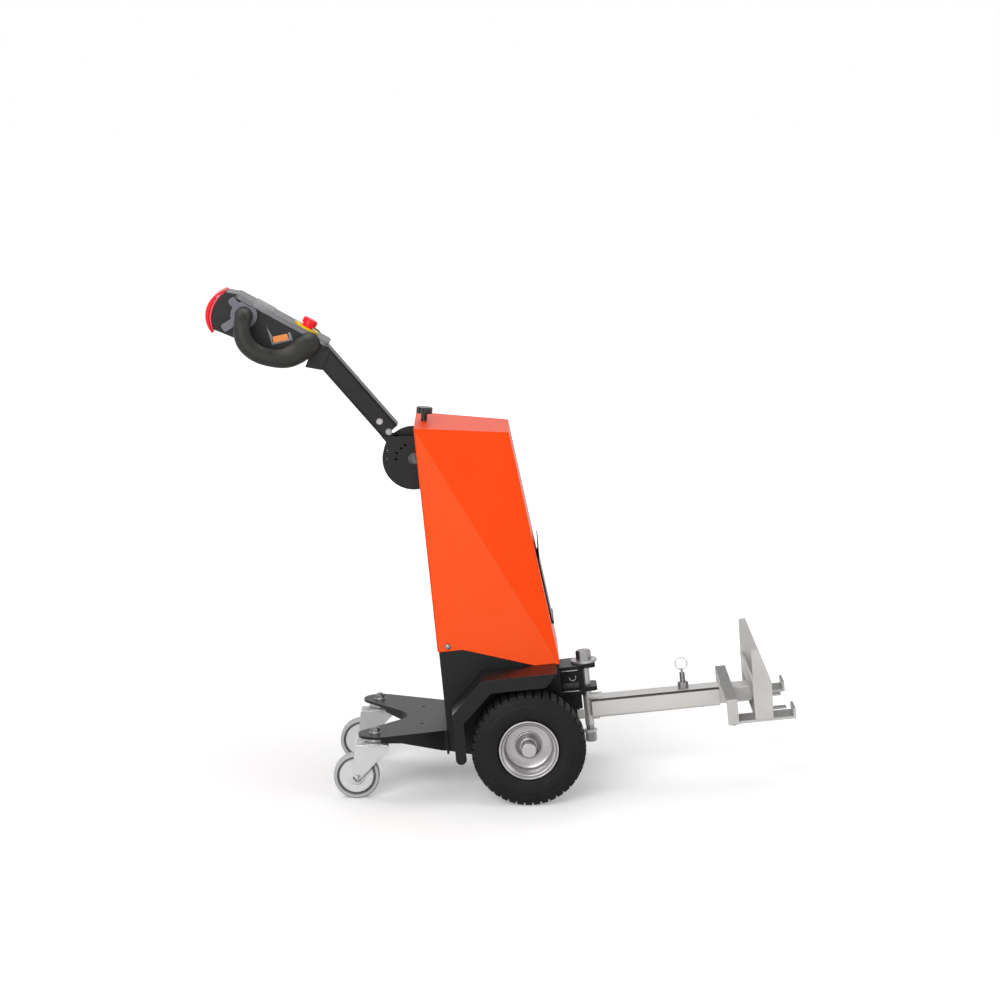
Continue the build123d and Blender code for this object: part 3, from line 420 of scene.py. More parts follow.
# Dark grey for a thin ring that stands as painted shade in the castor wheels' grooves
CASTOR_GROOVE_SHADE = Finish("castor_seal", srgb(84, 85, 86), srgb(66, 67, 68), 0.5, bump=0.1)
HEAD_SHELL = Finish("head_shell", srgb(22, 22, 23), srgb(30, 30, 31), 0.46, grain_scale=1500.0,
                    bump=0.2, specular=0.2)
HEAD_PANEL = Finish("head_panel", srgb(106, 106, 109), srgb(97, 97, 100), 0.42,
                    grain_scale=1500.0, bump=0.1)
HEAD_PATCH = Finish("head_patch", srgb(118, 118, 121), srgb(109, 109, 112), 0.34,
                    grain_scale=1500.0, bump=0.06)
# Grip: on its upper faces the dust mask is mostly painted light, so the tops are lighter and the
# dark base shows below
GRIP = Finish("grip_rubber", srgb(50, 50, 49), srgb(56, 56, 54), 0.44, grain_scale=1300.0,
              bump=0.22, dust=0.2, specular=0.12)
LEVER = Finish("lever_plastic", srgb(96, 95, 106), srgb(84, 83, 95), 0.4, grain_scale=1400.0,
               bump=0.1)
RED = Finish("red_plastic", (0.90, 0.012, 0.022, 1.0), (0.92, 0.016, 0.028, 1.0), 0.30,
             bump=0.02, specular=0.2)
RED_RIM = Finish("red_rim", (0.90, 0.05, 0.085, 1.0), (0.92, 0.07, 0.10, 1.0), 0.32,
                 bump=0.02, specular=0.25)
YELLOW = Finish("yellow_plastic", srgb(240, 204, 10), srgb(230, 194, 8), 0.32, bump=0.02,
                specular=0.2)
ORANGE_BUTTON = Finish("orange_button", srgb(240, 140, 52), srgb(232, 132, 48), 0.4, bump=0.05)
BLACK_PLASTIC = Finish("black_plastic", srgb(16, 16, 17), srgb(20, 20, 21), 0.22,
                       grain_scale=1200.0, bump=0.05)


def keep_smooth(mesh: bpy.types.Mesh, degrees: float = SHARP_TURN) -> None:
    """Shades a mesh smooth, with hard edges above an angle."""
    for face in mesh.polygons:
        face.use_smooth = True
    mesh.set_sharp_from_angle(angle=math.radians(degrees))


def piece(name: str, mesh: bpy.types.Mesh, finish: Finish, body: str, slot: str,
          nodes: Iterable[str] = ()) -> bpy.types.Object:
    """Links a finished mesh, in metres in the part's frame, as a piece of the machine.

    Args:
        name: name of the piece.
        mesh: its mesh.
        finish: its finish.
        body: body it rides on.
        slot: material slot of the record; not used.
        nodes: CAD nodes it stands for.

    Returns:
        The new object.
    """
    made = bpy.data.objects.new(name, mesh)
    bpy.context.scene.collection.objects.link(made)
    mesh.materials.clear()
    mesh.materials.append(finish.material())
    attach(made, body)
    if nodes:
        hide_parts(*nodes)
    log.info("%s on %s", name, body)
    return made


def to_mesh(name: str, shape: bmesh.types.BMesh, place: Matrix,
            degrees: float = SHARP_TURN) -> bpy.types.Mesh:
    """Moves a shape in millimetres to its place and turns it into a mesh in metres."""
    bmesh.ops.transform(shape, matrix=Matrix.Scale(MM, 4) @ place, verts=shape.verts)
    bmesh.ops.recalc_face_normals(shape, faces=shape.faces)
    mesh = bpy.data.meshes.new(name)
    shape.to_mesh(mesh)
    shape.free()
    keep_smooth(mesh, degrees)
    return mesh


def tint(made: bpy.types.Object, finish: Finish, place: Matrix,
         test: Callable[[Vector, Vector], bool]) -> None:
    """Gives the faces that pass a test a second finish.

    Args:
        made: the piece.
        finish: the further finish.
        place: frame in which the test reads a face's middle, in millimetres, and its normal.
        test: says whether a face with this middle and normal takes the finish.
    """
    made.data.materials.append(finish.material())
    index = len(made.data.materials) - 1
    inverse = place.inverted()
    for face in made.data.polygons:
        if test(inverse @ (face.center / MM), inverse.to_3x3() @ face.normal):
            face.material_index = index


def flatten(made: bpy.types.Object) -> None:
    """Weighs a piece's normals by face area, so that flat faces stay flat beside broken edges."""
    weighed = made.modifiers.new("flat_faces", "WEIGHTED_NORMAL")
    weighed.mode = "FACE_AREA"
    weighed.weight = 50
    weighed.keep_sharp = True


def prism(points: Sequence[Flat], near: float, far: float,
          edge: float = 0.0) -> bmesh.types.BMesh:
    """Plate with an outline in the XZ plane.

    Args:
        points: (x, z) corners in order.
        near: y of one face.
        far: y of the other face.
        edge: width of its broken edges.

    Returns:
        The shape in millimetres.
    """
    shape = bmesh.new()
    low = [shape.verts.new((x, near, z)) for x, z in points]
    high = [shape.verts.new((x, far, z)) for x, z in points]
    shape.faces.new(low)
    shape.faces.new(list(reversed(high)))
    for index, corner in enumerate(low):
        other = (index + 1) % len(low)
        shape.faces.new((corner, high[index], high[other], low[other]))
    bmesh.ops.recalc_face_normals(shape, faces=shape.faces)
    if edge:
        rims = [e for e in shape.edges if e.calc_face_angle(0.0) > math.radians(PRISM_TURN)]
        bmesh.ops.bevel(shape, geom=rims, offset=edge, **BROKEN)
    return shape


def swept(points: Sequence[Point], radius: float, around: int = 12) -> bmesh.types.BMesh:
    """Round bar along points, closed at both ends.

    Args:
        points: middle line of the bar.
        radius: radius of the bar.
        around: number of faces round it.

    Returns:
        The shape in millimetres.
    """
    shape = bmesh.new()
    line = [Vector(point) for point in points]
    # Any direction that isn't along the bar does as a start
    across = Vector((0, 1, 0.01)).normalized()
    rings = []
    for index, point in enumerate(line):
        along = (line[min(index + 1, len(line) - 1)] - line[max(index - 1, 0)]).normalized()
        across = (across - along * across.dot(along)).normalized()
        third = along.cross(across)
        rings.append([shape.verts.new(point + (across * math.cos(a) + third * math.sin(a)) * radius)
                      for a in (math.tau * step / around for step in range(around))])
    for here, after in zip(rings, rings[1:]):
        for step in range(around):
            other = (step + 1) % around
            shape.faces.new((here[step], here[other], after[other], after[step]))
    shape.faces.new(rings[0])
    shape.faces.new(list(reversed(rings[-1])))
    return shape


def joined(shapes: Sequence[bmesh.types.BMesh]) -> bmesh.types.BMesh:
    """Puts several shapes into one and frees them."""
    whole = bmesh.new()
    for shape in shapes:
        mesh = bpy.data.meshes.new("part")
        shape.to_mesh(mesh)
        shape.free()
        whole.from_mesh(mesh)
        bpy.data.meshes.remove(mesh)
    return whole


def lathe(section: Sequence[Flat], steps: int = 96, closed: bool = True) -> bmesh.types.BMesh:
    """Ring about the Y axis.

    Args:
        section: (y, radius) points in order.
        steps: number of steps round the axis.
        closed: whether the last point joins the first.

    Returns:
        The shape in millimetres.
    """
    shape = bmesh.new()
    rings = []
    for step in range(steps):
        angle = math.tau * step / steps
        rings.append([shape.verts.new((radius * math.cos(angle), y, radius * math.sin(angle)))
                      for y, radius in section])
    count = len(section)
    for step in range(steps):
        here, after = rings[step], rings[(step + 1) % steps]
        for index in range(count if closed else count - 1):
            other = (index + 1) % count
            shape.faces.new((here[index], here[other], after[other], after[index]))
    bmesh.ops.remove_doubles(shape, verts=shape.verts, dist=MERGE)
    return shape


def soften(section: Sequence[Flat], radius: float = 1.0, steps: int = 3) -> list[Flat]:
    """Rounds the corners of a closed section.

    Args:
        section: (y, radius) points in order.
        radius: distance along each run at which the rounding starts.
        steps: number of points on each corner.

    Returns:
        The rounded section.
    """
    made = []
    count = len(section)
    for index in range(count):
        before, corner, after = (Vector(section[(index + shift) % count]) for shift in (-1, 0, 1))
        back = min(radius, (before - corner).length * RUN_SHARE)
        ahead = min(radius, (after - corner).length * RUN_SHARE)
        start = corner + (before - corner).normalized() * back
        end = corner + (after - corner).normalized() * ahead
        for step in range(steps + 1):
            share = step / steps
            made.append(tuple(start * (1 - share) ** 2 + corner * 2 * share * (1 - share)
                              + end * share ** 2))
    return made


def dressed(node: str, finish: Finish, body: str, slot: str, edge: float = 0.5,
            angle: float = SHARP_TURN) -> bpy.types.Object:
    """Copies a CAD node, welds it, breaks its sharp edges and gives it a finish.

    Args:
        node: the CAD node.
        finish: its finish.
        body: body it rides on.
        slot: material slot of the record.
        edge: width of the broken edge in millimetres, 0 for none.
        angle: turn in degrees from which an edge counts as sharp.

    Returns:
        The piece that stands for the node.
    """
    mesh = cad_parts[node].data.copy()
    shape = bmesh.new()
    shape.from_mesh(mesh)
    bmesh.ops.remove_doubles(shape, verts=shape.verts, dist=WELD)
    bmesh.ops.dissolve_limit(shape, angle_limit=math.radians(FLAT_TURN), verts=shape.verts,
                             edges=shape.edges)
    if edge:
        least = math.radians(max(angle, LEAST_BROKEN_TURN))
        sharp = [e for e in shape.edges
                 if len(e.link_faces) == 2 and e.calc_face_angle(0.0) > least]
        bmesh.ops.bevel(shape, geom=sharp, offset=edge * MM, clamp_overlap=False, **BROKEN)
    shape.to_mesh(mesh)
    shape.free()
    keep_smooth(mesh, angle)
    made = piece(f"{node}_dressed", mesh, finish, body, slot, [node])
    flatten(made)
    return made


def dress(body: str, rows: Iterable[tuple[str, Finish, str, float]]
          ) -> dict[str, bpy.types.Object]:
    """Dresses several CAD nodes of one body.

    Args:
        body: body they ride on.
        rows: node, finish, material slot and width of the broken edge in millimetres.

    Returns:
        The pieces by node.
    """
    return {node: dressed(node, finish, body, slot, edge) for node, finish, slot, edge in rows}


@dataclass
class Cover:
    """Folded cover over the battery and what stands on it."""

    edge: float = 0.9
    fold_turn: float = 8.0
    upright: float = 0.998

    def build(self) -> None:
        """Dresses the cover, its front panel and its knob."""
        cover = dressed("body_cover", ORANGE_COAT, "chassis", "orange_paint", self.edge,
                        self.fold_turn)
        # Painted light: the upright lower facet of the cover takes a lighter orange than the
        # leaning upper facet
        tint(cover, ORANGE_LIT_FACET, FRAMES.chassis(),
             lambda middle, normal: abs(normal.y) > self.upright)
        dress("chassis", (("lip_panel", BLACK_COAT, "black_paint", 0.5),
                          ("top_knob", BLACK_PLASTIC, "black_plastic", 0.3)))


@dataclass
class DriveTyre:
    """Pneumatic tyre with block tread, centred on its axle."""

    radius: float = 127.0
    width: float = 82.0
    centre: float = 202.0
    depth: float = 5.5
    steps: int = 168
    bead: float = 57.3
    bead_inset: float = 9.0
    wall_foot: float = 67.0
    # Columns: inset from the side of the tyre, height above the wall's foot
    wall: tuple[Flat, ...] = (
        (8.3, 0.0), (6.4, 2.4), (4.6, 3.0), (3.4, 5.2), (3.0, 8.6), (1.8, 9.6), (1.0, 13.0),
        (0.3, 20.0), (0.1, 27.0), (0.2, 33.0), (0.9, 34.2), (1.0, 38.0), (1.4, 43.0), (3.2, 48.5))
    # Columns: inset from the side of the tyre, depth below the foot of the tread
    shoulder: tuple[Flat, ...] = ((6.0, 2.2), (11.0, 0.6), (20.0, 0.0))
    pitches: int = 42
    block_share: float = 0.72
    # Columns: start and end of a row of blocks across the tyre, share of the full
    # length round it, drop of the outer end
    rows: tuple[tuple[float, float, float, float], ...] = (
        (19.0, 35.4, 1.0, 6.5), (1.6, 16.6, 0.92, 0.0))
    block_sunk: float = 0.6
    block_flare: float = 1.12
    top_drop: float = 0.42
    top_low: float = 0.1
    top_band: float = 4.0
    block_faces: tuple[tuple[int, int, int, int], ...] = (
        (1, 3, 7, 5), (0, 1, 5, 4), (2, 6, 7, 3), (0, 2, 3, 1), (4, 5, 7, 6), (0, 4, 6, 2))

    def carcass(self) -> bmesh.types.BMesh:
        """Body of the tyre below its tread, with rings on the sidewall."""
        half = self.width / 2
        root = self.radius - self.depth
        near = [(half - inset, self.wall_foot + rise) for inset, rise in self.wall]
        near += [(half - inset, root - drop) for inset, drop in self.shoulder]
        far = [(-y, radius) for y, radius in reversed(near)]
        seat, low = half - self.wall[0][0], half - self.bead_inset
        inner = [(-seat, self.bead + 1.0), (-low, self.bead), (low, self.bead),
                 (seat, self.bead + 1.0)]
        return lathe([*near, *far, *inner], self.steps)

    def block(self, low: float, high: float, along: float, drop: float) -> list[Point]:
        """Corners of one tread block: x is round the tyre, y across it and z outwards."""
        foot = self.radius - self.depth - self.block_sunk
        corners = []
        for half in (-along / 2, along / 2):
            for y, out, fall in ((low, -0.4, 0.0), (high, 1.2, drop)):
                corners.append((half * self.block_flare, y + out, foot - fall))
                corners.append((half, y, self.radius - fall * self.top_drop - self.top_low))
        return corners

    def pitch_mesh(self) -> bpy.types.Mesh:
        """Blocks of one tread pitch, standing on the origin's tyre radius."""
        shape = bmesh.new()
        pitch = math.tau * self.radius / self.pitches
        for sign in (1, -1):
            for low, high, share, drop in self.rows:
                corners = self.block(low, high, pitch * self.block_share * share, drop)
                made = [shape.verts.new((x, sign * y, z)) for x, y, z in corners]
                for face in self.block_faces:
                    shape.faces.new([made[index] for index in face])
        bmesh.ops.recalc_face_normals(shape, faces=shape.faces)
        top = self.radius - self.top_band
        tops = [e for e in shape.edges if all(v.co.z > top for v in e.verts)]
        bmesh.ops.bevel(shape, geom=tops, offset=0.6, segments=1, affect="EDGES")
        bmesh.ops.transform(shape, matrix=Matrix.Scale(MM, 4), verts=shape.verts)
        mesh = bpy.data.meshes.new("tread_pitch")
        shape.to_mesh(mesh)
        shape.free()
        return mesh

    def build(self) -> None:
        """Makes both tyres."""
        pitch = bpy.data.objects.new("tread_pitch", self.pitch_mesh())
        tree = geometry_tree("ring_of_pitches", {
            "Pitch": "NodeSocketObject", "Count": "NodeSocketInt",
            "Centre": "NodeSocketVector"}, build_ring)
        axle = Matrix.Translation((FRAMES.axle_ahead * MM, 0, FRAMES.axle_height * MM))
        for side in Side:
            y = side.value * self.centre
            mesh = to_mesh("tyre", self.carcass(), Matrix.Translation((0, y, 0)), ROUND_TURN)
            made = grown(bpy.data.objects.new("tyre_base", mesh), tree, {
                "Pitch": pitch, "Count": self.pitches, "Centre": (0, y * MM, 0),
                "Finish": TYRE_RUBBER.material()})
            made.transform(axle)
            keep_smooth(made, ROUND_TURN)
            piece(f"tyre_tread_{side.word}", made, TYRE_RUBBER, f"drive_wheel_{side.word}",
                  "tyre_rubber", [f"tyre_{side.word}"])
        bpy.data.objects.remove(pitch)


def grown(base: bpy.types.Object, tree: bpy.types.NodeTree,
          values: dict[str, object]) -> bpy.types.Mesh:
    """Runs a geometry tree on an object and hands back the plain mesh.

    Args:
        base: object with the start mesh; it is removed.
        tree: the geometry node tree.
        values: values of the tree's inputs by name.

    Returns:
        The resulting mesh.
    """
    bpy.context.scene.collection.objects.link(base)
    modifier = base.modifiers.new("growth", "NODES")
    modifier.node_group = tree
    for item in tree.interface.items_tree:
        if item.item_type == "SOCKET" and item.in_out == "INPUT" and item.name in values:
            modifier[item.identifier] = values[item.name]
    base.update_tag()
    bpy.context.view_layer.update()
    graph = bpy.context.evaluated_depsgraph_get()
    mesh = bpy.data.meshes.new_from_object(base.evaluated_get(graph))
    base.modifiers.remove(modifier)
    bpy.data.objects.remove(base)
    return mesh


def geometry_tree(name: str, inputs: dict[str, str],
                  build: Callable[[Graph, Sockets], bpy.types.NodeSocket]
                  ) -> bpy.types.NodeTree:
    """Builds a geometry tree once, which ends in plain faces with one finish.

    Args:
        name: name of the tree.
        inputs: inputs beside Geometry and Finish, with their socket types.
        build: makes the nodes from a graph and the inputs, and returns the geometry.

    Returns:
        The tree.
    """
    found = bpy.data.node_groups.get(name)
    if found:
        return found
    tree = bpy.data.node_groups.new(name, "GeometryNodeTree")
    kinds = {"Geometry": "NodeSocketGeometry", **inputs, "Finish": "NodeSocketMaterial"}
    for label, kind in kinds.items():
        tree.interface.new_socket(name=label, in_out="INPUT", socket_type=kind)
    tree.interface.new_socket(name="Geometry", in_out="OUTPUT", socket_type="NodeSocketGeometry")
    graph = Graph(tree)
    outputs = graph.add("NodeGroupInput").outputs
    given = {label: outputs[label] for label in kinds}
    real = graph.add("GeometryNodeRealizeInstances", {0: build(graph, given)})
    painted = graph.add("GeometryNodeSetMaterial", {"Geometry": real.outputs[0],
                                                    "Material": given["Finish"]})
    graph.add("NodeGroupOutput", {0: painted.outputs[0]})
    return tree


def copies(graph: Graph, points: bpy.types.NodeSocket, thing: bpy.types.NodeSocket,
           turn: bpy.types.NodeSocket) -> bpy.types.NodeSocket:
    """Copies of an object on points, each with a turn."""
    shape = graph.add("GeometryNodeObjectInfo", {"Object": thing})
    node = graph.add("GeometryNodeInstanceOnPoints", {
        "Points": points, "Instance": shape.outputs["Geometry"], "Rotation": turn})
    return node.outputs[0]


def build_ring(graph: Graph, given: Sockets) -> bpy.types.NodeSocket:
    """Copies of a pitch mesh round the Y axis, joined to the base."""
    points = graph.add("GeometryNodePoints", {"Count": given["Count"],
                                              "Position": given["Centre"]})
    index = graph.add("GeometryNodeInputIndex").outputs[0]
    angle = graph.math("MULTIPLY", graph.math("DIVIDE", index, given["Count"]), math.tau)
    turn = graph.add("ShaderNodeCombineXYZ", {"Y": angle}).outputs[0]
    blocks = copies(graph, points.outputs[0], given["Pitch"], turn)
    whole = graph.add("GeometryNodeJoinGeometry")
    for geometry in (blocks, given["Geometry"]):
        graph.tree.links.new(geometry, whole.inputs[0])
    return whole.outputs[0]


def build_bolts(graph: Graph, given: Sockets) -> bpy.types.NodeSocket:
    """A bolt on each point, standing along the point's direction."""
    points = graph.add("GeometryNodeMeshToPoints", {"Mesh": given["Geometry"]})
    direction = graph.add("GeometryNodeInputNamedAttribute", {"Name": "direction"},
                          data_type="FLOAT_VECTOR")
    turn = graph.add("FunctionNodeAlignRotationToVector", {"Vector": direction.outputs[0]},
                     axis="Z")
    return copies(graph, points.outputs[0], given["Bolt"], turn.outputs[0])


class BoltHead(Enum):
    """Bolt heads as turned parts: steps round the axis and (height, radius) in radii."""

    DOME = ((32, ((0, 0), (0, 1), (0.12, 1), (0.4, 0.9), (0.62, 0.68), (0.7, 0.42),
                  (0.7, 0.34), (0.42, 0.3), (0.42, 0))),)
    HEX = ((36, ((0, 0), (0, 1.2), (0.14, 1.26), (0.2, 1.2), (0.2, 0))),
           (6, ((0.2, 0), (0.2, 1.06), (0.8, 1.06), (0.92, 0.94), (0.92, 0))))


@dataclass
class BoltSet:
    """Bolts of one kind on one body."""

    name: str
    head: BoltHead
    size: float
    body: str
    points: list[tuple[Vector, Vector]] = field(default_factory=list)

    def add(self, place: Matrix, point: Point, along: Point) -> None:
        """Adds a bolt at a point of a frame, in millimetres, standing along a direction."""
        self.points.append((place @ Vector(point) * MM,
                            (place.to_3x3() @ Vector(along)).normalized()))

    def head_mesh(self) -> bpy.types.Mesh:
        """Mesh of one bolt head, standing on z = 0, in metres."""
        turned = [lathe([(up * self.size, out * self.size) for up, out in section], steps,
                        closed=False)
                  for steps, section in self.head.value]
        return to_mesh(self.name, joined(turned), TURN_UP, ROUND_TURN)

    def build(self) -> None:
        """Makes all bolts of the set as one piece."""
        bolt = bpy.data.objects.new(f"{self.name}_one", self.head_mesh())
        cloud = bpy.data.meshes.new(f"{self.name}_points")
        cloud.from_pydata([tuple(point) for point, _ in self.points], [], [])
        directions = cloud.attributes.new("direction", "FLOAT_VECTOR", "POINT")
        for item, (_, along) in zip(directions.data, self.points):
            item.vector = along
        base = bpy.data.objects.new(f"{self.name}_base", cloud)
        tree = geometry_tree("bolts_on_points", {"Bolt": "NodeSocketObject"}, build_bolts)
        mesh = grown(base, tree, {"Bolt": bolt, "Finish": NUT_STEEL.material()})
        keep_smooth(mesh, ROUND_TURN)
        piece(self.name, mesh, NUT_STEEL, self.body, "zinc_steel")
        bpy.data.objects.remove(bolt)


@dataclass
class Chassis:
    """Plates, castor plate, hitch and what else keeps its CAD form."""

    black_nodes: tuple[str, ...] = (
        "side_plates", "rear_plate", "front_plate", "deck_plate", "fenders", "castor_plate",
        "hitch_bracket")
    catch_centre: Flat = (112.5, 104.0)
    catch_radius: float = 7.4
    catch_turns: range = range(170, 391, 20)
    wire: float = 1.0
    stem_washer: float = 150.0
    web_half: float = 29.0
    plate_half: float = 45.0
    sunk: float = 0.2
    proud: float = 0.6
    # Strips of painted highlight and painted light along the hitch box
    seam_ends: Flat = (88.0, 125.0)
    bright_seams: tuple[Flat, ...] = ((122.6, 124.4), (75.0, 76.6))
    rough_band: tuple[Flat, ...] = ((78.8, 91.5),)
    spine_half: float = 9.0
    spine_outline: tuple[Flat, ...] = (
        (104.0, 34.0), (113.0, 25.0), (129.5, 25.0), (129.5, 69.2), (104.0, 69.2))
    # Heights of the kingpin's bright runs: shank with washer, thin nut
    bright_bands: tuple[Flat, ...] = ((75.0, 137.8), (-33.2, -25.8))

    def catch(self) -> None:
        """Bent wire catch on each side of the hitch box."""
        ahead, height = self.catch_centre
        bars = []
        for side in Side:
            y = side.value * (self.web_half + self.proud)
            bend = [(ahead + self.catch_radius * math.cos(angle), y,
                     height + self.catch_radius * math.sin(angle))
                    for angle in map(math.radians, self.catch_turns)]
            bars.append(swept(bend, self.wire))
        mesh = to_mesh("catch", joined(bars), FRAMES.chassis())
        piece("hitch_catch", mesh, STAINLESS, "chassis", "zinc_steel")

    def seams(self) -> None:
        """Painted highlights along the hitch box, a bright strip below each plate's edge, with a
        rough painted lighter grey band between for the lit top of the lower plate.
        """
        rear, front = self.seam_ends
        for name, finish, face, runs in (
                ("hitch_seams", STAINLESS, self.plate_half, self.bright_seams),
                ("hitch_band", LIT_BAND_GREY, self.web_half, self.rough_band)):
            bars = [prism([(rear, low), (front, low), (front, high), (rear, high)],
                          side.value * (face - self.sunk), side.value * (face + self.proud),
                          self.sunk)
                    for side in Side for low, high in runs]
            mesh = to_mesh(name, joined(bars), FRAMES.chassis())
            piece(name, mesh, finish, "chassis", "zinc_steel")

    def spine(self) -> None:
        """Upright rib under the hitch box, behind the drawbar's bush."""
        shape = prism(self.spine_outline, -self.spine_half, self.spine_half, 0.8)
        mesh = to_mesh("spine", shape, FRAMES.chassis())
        flatten(piece("hitch_spine", mesh, BLACK_COAT, "chassis", "black_paint"))

    def build(self) -> None:
        """Dresses the nodes of the chassis."""
        made = dress("chassis", (
            *((node, BLACK_COAT, "black_paint", 0.6) for node in self.black_nodes),
            ("castor_stems", NUT_STEEL, "zinc_steel", 0.3),
            ("axle_stubs", CAP_STEEL, "zinc_steel", 0.4),
            ("kingpin", NUT_STEEL, "zinc_steel", 0.4),
            ("tiller_pin", DARK_STEEL, "zinc_steel", 0.3),
            ("tiller_post", ARM_COAT, "grey_paint", 0.4),
            ("battery_pack", BLACK_PLASTIC, "battery_case", 2.0),
            ("transaxle", DRIVE_IRON, "drive_iron", 1.5)))
        tint(made["castor_stems"], ZINC, FRAMES.floor(),
             lambda middle, normal: middle.z < self.stem_washer)
        tint(made["kingpin"], ZINC, FRAMES.chassis(), lambda middle, normal: any(
            low < middle.z < high for low, high in self.bright_bands))
        self.catch()
        self.seams()
        self.spine()


@dataclass
class Wheels:
    """Rims and castors."""

    swivel_back: float = 341.0
    swivel_side: float = 158.0
    trail: float = 41.0
    wheel_height: float = 51.0
    groove_floor: float = 6.0
    groove_inner: float = 38.6
    groove_outer: float = 42.9
    leg_inside: float = 19.0
    leg_thick: float = 4.0
    leg_rear: float = -44.5
    leg_drop: float = 3.0
    eye: float = 9.5
    eye_turns: range = range(180, 331, 10)
    crown_top: float = 124.5
    crown_foot: float = 117.5
    crown_front: float = 30.0
    crown_rear: float = -44.0
    crown_over: float = 0.4
    race_radius: float = 26.5
    race_bore: float = 8.0
    # Columns: height above the crown, step out from the race's radius
    race_lip: tuple[Flat, ...] = (
        (-1.0, 2.6), (3.2, 3.0), (5.6, -1.4), (6.8, -5.0), (9.0, -6.0), (10.0, -2.6))
    plate_foot: float = 141.6
    round_steps: int = 72
    rim_turn: float = 24.0
    dish: float = 190.0
    pocket_radius: float = 27.4
    # Faces of the rim inside this radius and below this depth belong to the pocket and take its
    # painted shade
    pocket_mouth: float = 27.7
    pocket_depth: float = 189.2
    # Columns: step out from the dish, step out from the pocket's radius
    bead: tuple[Flat, ...] = (
        (-1.0, -0.2), (2.2, -0.2), (2.2, 1.6), (0.6, 3.4), (-0.2, 3.6))

    def swivel(self, side: Side, back: float = 0.0, up: float = 0.0) -> Matrix:
        """Frame on a castor's swivel axis, or behind and above it, in millimetres."""
        place = (-self.swivel_back - back, side.value * self.swivel_side, up)
        return FRAMES.floor() @ Matrix.Translation(place)

    def leg(self) -> list[Flat]:
        """Outline of a fork leg: upright behind, raked in front, a round eye at the axle."""
        top = self.crown_top - self.leg_drop
        eye = [(-self.trail + self.eye * math.cos(angle),
                self.wheel_height + self.eye * math.sin(angle))
               for angle in map(math.radians, self.eye_turns)]
        return [(self.leg_rear, top), *eye, (self.crown_front, self.crown_foot - 4.0),
                (self.crown_front, top)]

    def crown(self) -> list[Flat]:
        """Outline of the fork's crown seen from the side."""
        rear, front = self.crown_rear, self.crown_front + self.crown_over
        return [(rear, self.crown_foot), (front, self.crown_foot), (front, self.crown_top - 2.0),
                (self.crown_front - 2.0, self.crown_top), (rear + 3.0, self.crown_top),
                (rear, self.crown_top - 3.0)]

    def race(self) -> bmesh.types.BMesh:
        """Swivel race with its rolled lip, standing upright on the crown."""
        lip = [(self.crown_top + rise, self.race_radius + out) for rise, out in self.race_lip]
        section = [(lip[0][0], self.race_bore), *lip, (self.plate_foot, lip[-1][1]),
                   (self.plate_foot, self.race_bore)]
        ring = lathe(soften(section, 0.8), self.round_steps)
        bmesh.ops.transform(ring, matrix=TURN_UP, verts=ring.verts)
        bmesh.ops.reverse_faces(ring, faces=ring.faces)
        return ring

    def fork(self, side: Side) -> None:
        """Pressed fork: two legs, a crown and the race."""
        out = self.leg_inside + self.leg_thick
        shapes = [prism(self.leg(), y, y + self.leg_thick, 0.7)
                  for y in (self.leg_inside, -out)]
        half = out + self.crown_over
        shapes += [prism(self.crown(), -half, half, 1.6), self.race()]
        mesh = to_mesh("fork", joined(shapes), self.swivel(side))
        flatten(piece(f"castor_fork_pressed_{side.word}", mesh, ZINC, f"castor_{side.word}",
                      "zinc_steel", [f"castor_fork_{side.word}"]))

    def seal(self, side: Side) -> None:
        """Dark ring in the groove on each face of a castor wheel, as painted shade."""
        rings = []
        for face in (-1, 1):
            low, high = face * self.groove_floor, face * (self.groove_floor + 0.5)
            section = [(low, self.groove_inner), (high, self.groove_inner),
                       (high, self.groove_outer), (low, self.groove_outer)]
            rings.append(lathe(section, self.round_steps))
        mesh = to_mesh("seal", joined(rings), self.swivel(side, self.trail, self.wheel_height))
        piece(f"castor_seal_{side.word}", mesh, CASTOR_GROOVE_SHADE, f"castor_wheel_{side.word}",
              "castor_rubber")

    def rim(self, side: Side) -> None:
        """Rim with painted shade in its hub pocket and a rolled bead round its mouth."""
        sign, wheel = side.value, f"drive_wheel_{side.word}"
        made = dressed(f"rim_{side.word}", RIM_PAINT, wheel, "silver_paint", 0.5, self.rim_turn)
        # Painted shade: the faces deep in the hub pocket take the darker paint
        tint(made, POCKET_SHADE, FRAMES.axle(), lambda middle, normal: (
            math.hypot(middle.x, middle.z) < self.pocket_mouth
            and sign * middle.y < self.pocket_depth))
        bead = soften([(self.dish + out, self.pocket_radius + up) for out, up in self.bead], 0.9)
        mesh = to_mesh("bead", lathe([(sign * y, radius) for y, radius in bead]), FRAMES.axle())
        piece(f"pocket_bead_{side.word}", mesh, RIM_PAINT, wheel, "silver_paint")

    def build(self) -> None:
        """Dresses rims, forks and castor wheels."""
        for side in Side:
            word = side.word
            self.rim(side)
            self.fork(side)
            dress(f"castor_{word}", ((f"castor_axle_{word}", ZINC, "zinc_steel", 0.4),))
            dress(f"castor_wheel_{word}", (
                (f"castor_tread_{word}", CASTOR_TREAD, "castor_rubber", 0.0),
                (f"castor_core_{word}", CASTOR_CORE, "castor_plastic", 0.4)))
            self.seal(side)


